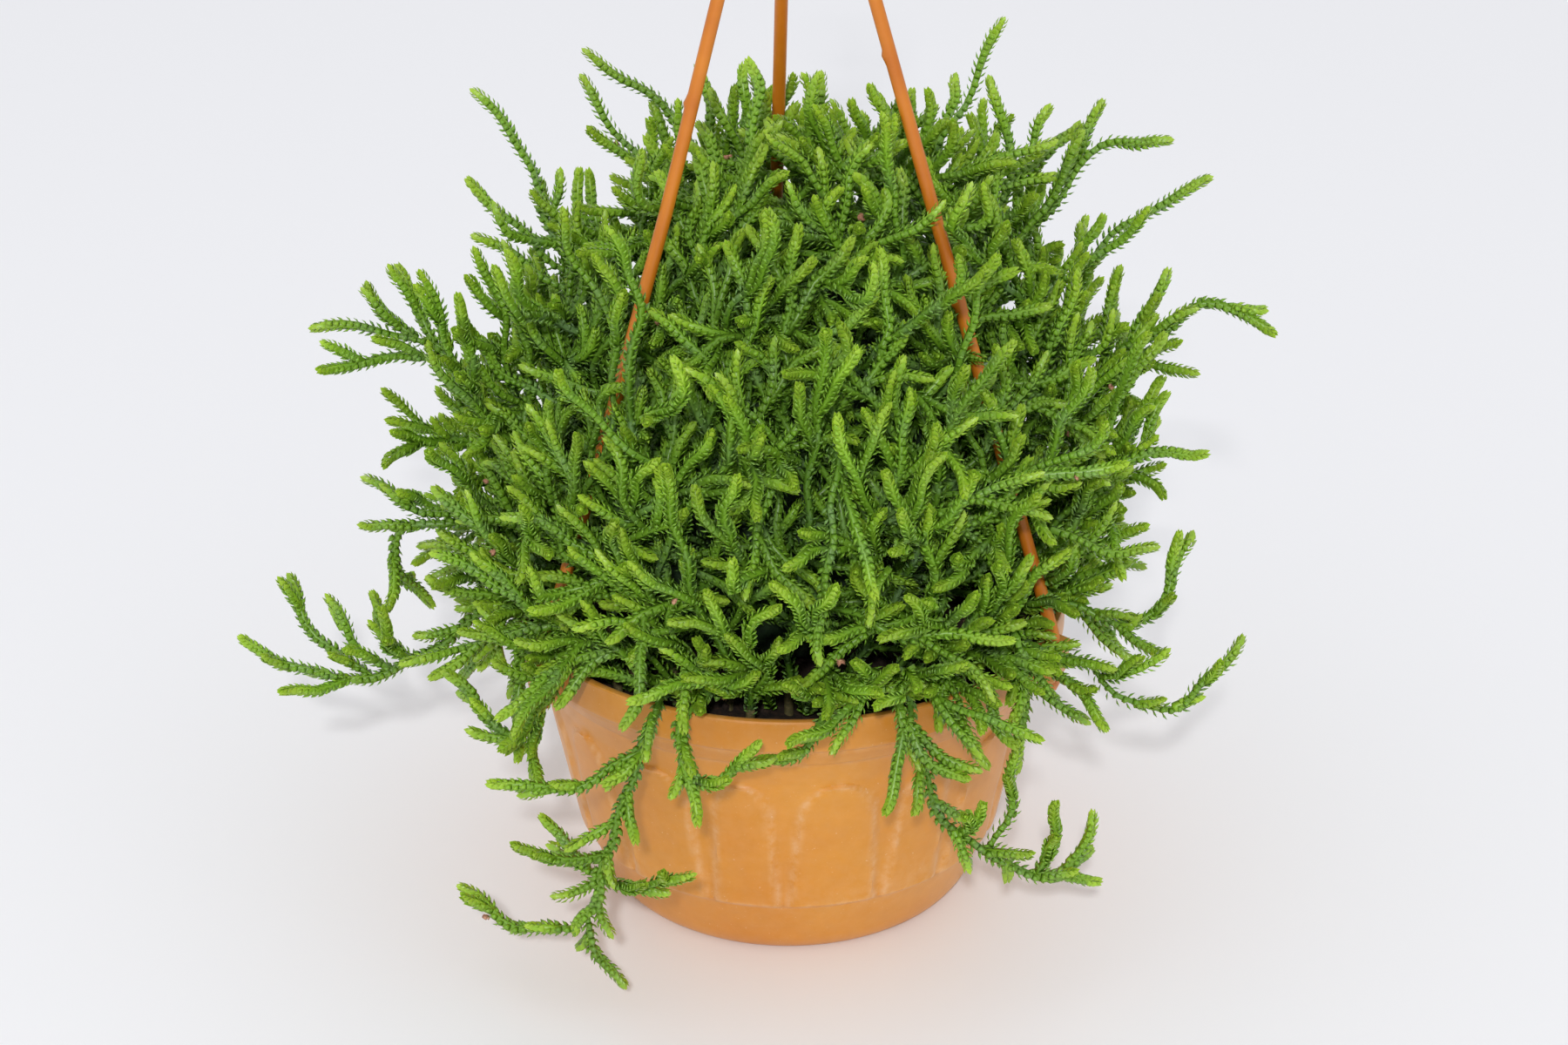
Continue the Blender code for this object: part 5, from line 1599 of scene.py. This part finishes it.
# Gathers the bodies of one piece
class MeshStore:
    def __init__(self):
        self.corners, self.tones, self.tables, self.kinds = [], [], [], []
        self.count = 0

    def add(self, corners, tables, tones=(0.0, 0.0, 0.0), kind=0):
        self.corners.append(corners)
        self.tones.append(np.broadcast_to(tones, (len(corners), 3)))
        for table in tables:
            self.tables.append(table + self.count)
            self.kinds.append(np.full(len(table), kind))
        self.count += len(corners)

    def piece(self, name, materials):
        tones = np.column_stack([np.vstack(self.tones), np.ones(self.count)])
        kinds = np.concatenate(self.kinds)
        return makePiece(name, np.vstack(self.corners), self.tables, materials, kinds, "leafTone", tones)


# How shaded a place is inside the bush: 0 at its shell, 1 deep inside. The stems' tone is darkened by it as
# painted shade.
def shadeInside(places):
    far = np.linalg.norm((places - bush["centre"]) / bush["shell"], axis=-1)
    return 1.0 - smoothStep(*leaf["shadeZone"], far)


# Age by distance from the tip in millimetres: lime over the last stretch, then darker with every leaf
def ageAt(back, lime):
    limeEnds = [share * lime for share in leaf["limeShares"]]
    return np.interp(back, [0.0, *limeEnds, *leaf["darkEnds"]], leaf["ages"])


# A path that waves to its sides, ever more past its bare foot
def wavyPath(path, bare, numbers):
    run = runAlong(path)
    grown = leaf["wave"] * smoothStep(0.0, leaf["waveStart"], run - bare)
    for length, aside in zip(leaf["waveLengths"], stemFrames(path)[1:]):
        phase = numbers.uniform(0.0, 2 * math.pi)
        path = path + (grown * np.sin(run * 2 * math.pi / length + phase))[:, None] * aside
    return path


# What shows between the leaves: a slim body, fullest near the tip, and the bare foot in old bark
def fillStem(store, path, run, bare, lime, vary, twist):
    steps, sides = max(3, int((run[-1] - bare) / leaf["stemStep"])), leaf["fillSides"]
    spots = np.linspace(bare, run[-1], steps)
    line = alongPath(path, run, spots)
    back = (run[-1] - spots) / mm
    radii = np.interp(back, *leaf["fillRadii"]) * mm
    corners, tables = sweptTube(line, radii, sides, math.pi / 4 + twist * back)
    # The tone darkens with age, and deep inside the bush with painted shade
    age = np.clip(ageAt(back, lime) + leaf["paintedShadeAge"] * shadeInside(line), 0.0, 1.0)
    # The slim body takes the tone of a spot a little way up a leaf, so it gets a little painted crevice shade
    tones = np.full((sides * steps, 3), (0.0, leaf["betweenTone"], vary))
    tones[:, 0] = np.repeat(age, sides)
    store.add(corners, tables, np.vstack([tones, tones[0], tones[-1]]))
    if bare:
        foot = alongPath(path, run, np.linspace(0.0, bare + 2 * mm, 8))
        store.add(*sweptTube(foot, leaf["footRadius"], leaf["footSides"]), kind=1)


# Corners and tones of one leaf of each pair, by distance back from the tip in millimetres. The course is the
# stem's middle line at each pair, with its three directions there.
def leafRow(back, course, turn, age, vary, numbers):
    middle, forward, aside, above = course
    count = len(back)
    turn = (turn + numbers.normal(0.0, leaf["sway"], count))[:, None]
    spread = np.interp(back, *leaf["spreads"]) + numbers.normal(0.0, leaf["spreadVary"], count)
    spread = np.radians(spread)[:, None]
    size = (np.interp(back, *leaf["sizes"]) * numbers.uniform(*leaf["sizeVary"], count))[:, None]
    outward = np.cos(turn) * aside + np.sin(turn) * above
    across = np.cross(forward, outward)
    pointing = np.cos(spread) * forward + np.sin(spread) * outward
    face = np.cos(spread) * outward - np.sin(spread) * forward
    stemRadius = np.interp(back, *leaf["stemRadii"]) * mm
    root = middle + outward * leaf["rootSink"] * stemRadius[:, None]
    belly = root + pointing * leaf["middle"] * leaf["length"] * size
    rootHalf, bellyHalf = across * leaf["baseHalf"] * size, across * leaf["middleHalf"] * size
    keel, point = belly + face * leaf["keel"] * size, root + pointing * leaf["length"] * size
    sides = [root - rootHalf, root + rootHalf, belly - bellyHalf, belly + bellyHalf]
    tones = np.zeros((count, 6, 3))
    tones[:, :, 0] = np.clip(age + numbers.normal(0.0, leaf["ageVary"], count), 0.0, 1.0)[:, None]
    tones[:, :, 1] = leafAlong
    tones[:, :, 2] = np.clip(vary + numbers.normal(0.0, leaf["toneVary"], count), 0.0, 1.0)[:, None]
    return np.stack([*sides, keel, point], axis=1), tones


# One stem with its leaves. Pairs of leaves stand crosswise, so that the stem has four ranks.
def dressStem(store, way, bare, draw, numbers, deep=leaf["deep"]):
    tip = way[-1] + unit(way[-1] - way[-2]) * leaf["tipBeyond"]
    path = evenPoints(np.vstack([way, tip]), leaf["pathStep"])
    for _ in range(2):
        path[1:-1] = 0.25 * path[:-2] + 0.5 * path[1:-1] + 0.25 * path[2:]
    path = wavyPath(path, bare, numbers)
    run = runAlong(path)
    lime, vary = draw.uniform(*leaf["limeLength"]), draw.uniform(*leaf["stemTones"])
    twist = math.radians(draw.uniform(-leaf["twist"], leaf["twist"]) / 10)
    fillStem(store, path, run, bare, lime, vary, twist)

    spots = spotsFromTip[spotsFromTip < run[-1] - bare]
    ahead, side, _ = stemFrames(path)
    middle, forward, aside = (alongPath(values, run, run[-1] - spots) for values in (path, ahead, side))
    forward = unit(forward)
    aside = unit(aside - forward * np.sum(aside * forward, axis=1, keepdims=True))
    course = middle, forward, aside, np.cross(forward, aside)
    back, shade = spots / mm, shadeInside(middle)
    # Each pair's tone: darker with age, and darker deep inside the bush as painted shade
    age = ageAt(back, lime) + leaf["paintedShadeAge"] * shade
    inside, atTip = shade > deep, spots < leaf["softTip"]
    builds = (~inside & ~atTip, grownLeaf), (~inside & atTip, tipLeaf), (inside, deepLeaf)
    for opposite in (0.0, math.pi):
        turn = np.arange(len(back)) * math.pi / 2 + twist * back + opposite
        corners, tones = leafRow(back, course, turn, age, vary, numbers)
        for kept, (picked, table) in builds:
            chosen = corners[kept][:, picked]
            firsts = len(picked) * np.arange(len(chosen))[:, None, None]
            if len(chosen):
                triangles = (table + firsts).reshape(-1, 3)
                store.add(chosen.reshape(-1, 3), [triangles], tones[kept][:, picked].reshape(-1, 3))


# The crowded middle


# The dark heart of the bush: a lumpy dome of litter and shaded stems, painted dark as the shade there, that
# closes the view through it
def makeHeart(material):
    shape = bmesh.new()
    bmesh.ops.create_icosphere(shape, subdivisions=5, radius=1.0)
    centre, foot = bush["coreCentre"], soil["top"] + gap
    for vert in shape.verts:
        direction = np.array(vert.co.normalized())
        coarse, fine = (noise.noise(Vector(direction * often)) for often in (9.0, 23.0))
        reach = coreReach(direction) - bush["coreSpike"]
        reach += 3.5 * mm * coarse + 1.5 * mm * fine
        spot = centre + direction * reach
        if spot[2] < foot:
            spot = centre + direction * reach * (centre[2] - foot) / (centre[2] - spot[2])
        vert.co = spot
    heart = shapeToObject("bush_heart", shape)
    heart.data.materials.append(material)
    heart.data.shade_smooth()
    return heart


thicket = {
    "sprays": 215,
    "share": 1.40,
    "turn": 0.7,
    "reach": (0.72, 1.0),
    "midReach": 0.68,
    "lean": (0.40, 1.0),
    "upward": 0.65,
    "shoots": (2, 2, 3, 3),
    "shootShare": (0.40, 0.88),
    "shootLength": (15, 31),
    "curl": (7, 15),
    "clearance": 3.6 * mm,
    "rounds": 10,
    "lack": 1.5 * mm,
    "under": 345,
    "underTurn": 2.1,
    "underReach": (0.25, 0.62),
    "underLean": (0.30, 0.55),
    "underDeep": -1.0,
    "skirt": 84,
    "skirtSway": 16,
    "skirtFoot": (58, 70),
    # Along a skirt stem: share of its sway, radius, height, and shares of the droop outwards and down
    "skirtWay": (
        (0.25, (70, 76), (101, 108), 0.0, 0.0),
        (0.65, (80, 90), (106, 120), 0.6, 0.3),
        (1.0, (88, 103), (98, 126), 1.0, 1.0),
    ),
    "skirtShare": (0.5, 0.9),
    "skirtShoots": (1, 2, 2, 3),
    "droops": ((-54.0, 24.0), (20.0, 15.0), (54.0, 15.0)),
    "droopOut": 6.0,
    "droopDown": 18.0,
    "rodClear": 4.5 * mm,
    "footDepth": 3.0 * mm,
    "soilBand": (-38.0, 2.0),
    "soilTop": 116.0 * mm,
    "soilStems": 4,
    "seed": 77,
    "sectors": (
        "front", "front_right", "right", "back_right", "back", "back_left", "left", "front_left",
    ),
    "swells": (
        ((-0.67, 0.34, 0.66), -0.20),
        ((0.0, 0.46, 0.89), -0.06),
        ((0.69, 0.33, 0.64), 0.08),
        ((-0.67, -0.45, 0.59), -0.42),
        ((0.74, -0.36, 0.57), -0.30),
        ((0.0, -0.50, 0.85), -0.14),
    ),
    "swellSpread": 0.12,
}


# A direction round the dome, mostly upwards
def leanRound(draw, out):
    lean = np.array([draw.uniform(-1, 1), draw.uniform(-1, 1), draw.uniform(-1, 1) + thicket["upward"]])
    return unit(lean - out * out.dot(lean))


# A place in the crowd, from the heart's surface at 0 to the outside at 1. The outside is lower beside the
# rods and at the left of the top, and fuller at its right.
def crowdSpot(out, reach):
    swell = 1.0
    for way, amount in thicket["swells"]:
        swell += amount * math.exp((out.dot(unit(np.array(way))) - 1.0) / thicket["swellSpread"])
    outside = bush["centre"] + out * bush["shell"] * swell
    return heartSpot(out) * (1 - reach) + outside * reach


# A place just inside the heart's surface
def heartSpot(out):
    return bush["coreCentre"] + out * (coreReach(out) - bush["coreSpike"] - thicket["footDepth"])


def thicketSpray(draw, index):
    out = domeSpot(index, thicket["sprays"], thicket["share"], thicket["turn"])
    lean = leanRound(draw, out)
    footWay = unit(out - lean * draw.uniform(*thicket["lean"]))
    foot, tip = heartSpot(footWay), crowdSpot(out, draw.uniform(*thicket["reach"]))
    middle = crowdSpot(unit(0.45 * footWay + 0.55 * out), thicket["midReach"])
    curl = tip + unit(0.35 * out + 0.8 * lean + np.array([0, 0, 0.25])) * draw.uniform(*thicket["curl"]) * mm
    stem = smoothPath([foot, middle, tip, curl], layout["pathStep"])
    shoots = []
    count = draw.choice(thicket["shoots"])
    low, high = thicket["shootShare"]
    for order in range(count):
        share = low + (high - low) * (order + draw.uniform(0.2, 0.8)) / count
        length = draw.uniform(*thicket["shootLength"])
        shoots.append(sideShoot(draw, stem, share, 1 if order % 2 else -1, length))
    return stem, shoots


# A shoot out of a stem's side, a little outwards and up
def sideShoot(draw, stem, share, hand, length):
    at = min(int(share * (len(stem) - 1)), len(stem) - 2)
    along = unit(stem[at + 1] - stem[at])
    out = unit(stem[at] - bush["centre"])
    side = np.cross(along, out) * hand * draw.uniform(0.5, 0.9)
    way = unit(0.8 * along + side + 0.2 * out + np.array([0, 0, 0.22]))
    bend = stem[at] + (0.55 * way + 0.12 * along) * length * mm
    return smoothPath([stem[at], bend, stem[at] + way * length * mm], layout["pathStep"])


# A stem of the layer under the shell, which runs round the heart
def underStem(draw, index):
    out = domeSpot(index, thicket["under"], thicket["share"], thicket["underTurn"])
    lean = leanRound(draw, out) * draw.uniform(*thicket["underLean"])
    reach = draw.uniform(*thicket["underReach"])
    way = [heartSpot(unit(out - lean)), crowdSpot(out, 0.8 * reach), crowdSpot(unit(out + lean), reach)]
    return smoothPath(way, layout["pathStep"])


# A low stem that rises from the soil near the rim and leans out over it, with its shoots. It hangs lowest at
# a few places round the front.
def skirtSpray(draw, index):
    azimuth = (index + draw.uniform(0, 1)) * 360 / thicket["skirt"] - 180
    droop = max(math.exp(-(((azimuth - middle) / width) ** 2)) for middle, width in thicket["droops"])
    sway = draw.uniform(-thicket["skirtSway"], thicket["skirtSway"])
    way = [around(azimuth, draw.uniform(*thicket["skirtFoot"]) * mm, soil["top"] + 2 * mm)]
    for share, radii, heights, out, down in thicket["skirtWay"]:
        radius = draw.uniform(*radii) + out * droop * thicket["droopOut"]
        height = draw.uniform(*heights) - down * droop * thicket["droopDown"]
        way.append(around(azimuth + share * sway, radius * mm, height * mm))
    stem = smoothPath(way, layout["pathStep"])
    shoots = []
    for order in range(draw.choice(thicket["skirtShoots"])):
        share, length = draw.uniform(*thicket["skirtShare"]), draw.uniform(*thicket["shootLength"])
        shoots.append(sideShoot(draw, stem, share, 1 if order % 2 else -1, length))
    return stem, shoots


# Short shoots all along a long spray, on alternate sides
def extraShoots(draw, branches, bare):
    shoots = []
    for order, branch in enumerate(branches):
        length = runAlong(branch)[-1] / mm
        place = bare / mm + layout["extraAbove"] if order == 0 else layout["extraEnds"]
        hand = draw.choice((-1, 1))
        while place < length - layout["extraEnds"]:
            shoots.append(sideShoot(draw, branch, place / length, hand, draw.uniform(*layout["extraLength"])))
            place += draw.uniform(*layout["extraPitch"])
            hand = -hand
    return shoots


# The dark strip of soil that the front's stems leave bare
def overSoil(spot):
    azimuth = math.degrees(math.atan2(spot[0], -spot[1]))
    low, high = thicket["soilBand"]
    return low < azimuth < high and spot[2] < thicket["soilTop"]


# The room left between the rods and the stems that stand
def crowdRoom(planted):
    crowd = Room()
    for index in range(len(hanger["azimuths"])):
        crowd.add(rodSpots(index), hanger["rodRadius"] + layout["stemRadius"])
    fillRoom(crowd, planted, thicket["clearance"])
    return crowd


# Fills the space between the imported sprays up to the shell, each stem bent clear of the others
def growThicket(crowd, materials):
    draw = random.Random(thicket["seed"])
    numbers = np.random.default_rng(thicket["seed"])
    rods = np.vstack([rodSpots(index) for index in range(len(hanger["azimuths"]))])
    stores = [MeshStore() for _ in thicket["sectors"]]
    grown = []

    def sectorOf(spot):
        azimuth, wide = math.degrees(math.atan2(spot[0], -spot[1])), 360 / len(stores)
        return stores[int(((azimuth + wide / 2) % 360) // wide)]

    def grow(stem, shoots):
        store = sectorOf(stem[-1])
        for path in [stem] + shoots:
            path, lack = crowd.bendClear(path, layout["footFixed"], False, thicket["rounds"])
            if lack <= thicket["lack"]:
                path = evenPoints(path, layout["pathStep"])
                fillRoom(crowd, [path], thicket["clearance"])
                dressStem(store, path, 0.0, draw, numbers)
                grown.append(path)

    for index in range(thicket["skirt"]):
        stem, shoots = skirtSpray(draw, index)
        if not overSoil(stem[-1]) or index % thicket["soilStems"] == 0:
            grow(stem, shoots)
    for index in range(thicket["sprays"]):
        stem, shoots = thicketSpray(draw, index)
        if not overSoil(stem[-1]):
            grow(stem, shoots)
    for index in range(thicket["under"]):
        stem = underStem(draw, index)
        rodRoom = np.linalg.norm(rods[:, None] - stem[None], axis=2).min()
        if not overSoil(stem[-1]) and rodRoom > thicket["rodClear"]:
            dressStem(sectorOf(stem[-1]), stem, 0.0, draw, numbers, thicket["underDeep"])
    for name, store in zip(thicket["sectors"], stores):
        placePiece(store.piece("thicket_" + name, materials), "leafy_stem")
    print("thicket", len(grown), "stems")
    return grown


# Dried flower heads in the axils, a few papery points each
flowers = {
    "count": 26,
    "points": (4, 8),
    "size": (1.1, 2.2),
    "offStem": 2.0 * mm,
    "splay": 0.9,
    "petalHalf": 0.3,
    "seed": 5,
}

# A dried petal's corners: three round its root, three round its middle, and its point
petalTriangles = np.array(
    [
        (0, 4, 1), (0, 3, 4), (1, 5, 2), (1, 4, 5), (2, 3, 0), (2, 5, 3),
        (3, 6, 4), (4, 6, 5), (5, 6, 3), (0, 1, 2),
    ]
)


def makeFlowers(branches, material):
    draw = random.Random(flowers["seed"])
    store = MeshStore()
    outer = [way for way in branches if len(way) > 8]
    for _ in range(flowers["count"]):
        way = draw.choice(outer)
        at = draw.randrange(len(way) // 3, len(way) - 3)
        along = unit(way[at + 1] - way[at])
        out = unit(way[at] - bush["centre"])
        spot = way[at] + unit(out - along * out.dot(along)) * flowers["offStem"]
        for _ in range(draw.randint(*flowers["points"])):
            scatter = np.array([draw.uniform(-1, 1) for _ in range(3)])
            pointing = unit(out + flowers["splay"] * scatter)
            size = draw.uniform(*flowers["size"]) * mm
            aside = unit(np.cross(pointing, [0.3, 0.2, 0.9])) * flowers["petalHalf"] * size
            above = np.cross(pointing, aside)
            base = [spot + aside, spot - 0.5 * aside + 0.87 * above, spot - 0.5 * aside - 0.87 * above]
            belly = [corner + pointing * 0.5 * size + (corner - spot) * 0.5 for corner in base]
            corners = np.array(base + belly + [spot + pointing * size])
            store.add(corners, [petalTriangles])
    placePiece(store.piece("dried_flowers", [material]), "leafy_stem")


# Adds the short shoots of the long sprays, where there is room for them
def fringeSprays(sprays, crowd, draw):
    for name in trailingSprays:
        for path in extraShoots(draw, sprays.get(name, []), bareFoot):
            path, lack = crowd.bendClear(path, layout["footFixed"], False, thicket["rounds"])
            if lack < layout["extraLack"]:
                sprays[name].append(path)
                fillRoom(crowd, [path], thicket["clearance"])


def main():
    setStudio()
    stemFinishes = [waxyLeaf(), driedStem()]
    makeBowl(mouldedBowlPlastic())
    rodFinish = mouldedRodPlastic()
    for index, node in enumerate(("hanger_rod_left", "hanger_rod_right", "hanger_rod_back")):
        makeRod(index, node, rodFinish)
    makeHook(rodFinish)
    print("hanger made")
    makeSoil(moistPeat(), stemFinishes[1])

    sprays, mound = layOutBush()
    draw, numbers = random.Random(leaf["seed"]), np.random.default_rng(leaf["seed"])
    crowd = crowdRoom([way for branches in [*sprays.values(), *mound] for way in branches])
    fringeSprays(sprays, crowd, draw)
    planted = []
    for name, branches in sprays.items():
        store = MeshStore()
        for order, way in enumerate(branches):
            dressStem(store, way, bareFoot if order == 0 else 0.0, draw, numbers)
        placePiece(store.piece("leafy_" + name, stemFinishes), "leafy_stem", name)
        planted += branches
    placePiece(makeHeart(paintedShadeLitter()), "crowded_stems", "mound")
    store = MeshStore()
    for branches in mound:
        for way in branches:
            dressStem(store, way, 0.0, draw, numbers)
        planted += branches
    placePiece(store.piece("leafy_mound", stemFinishes), "crowded_stems", "mound")
    print("packed stems dressed", len(planted))
    planted += growThicket(crowd, stemFinishes)
    makeFlowers(planted, driedFlower())


main()
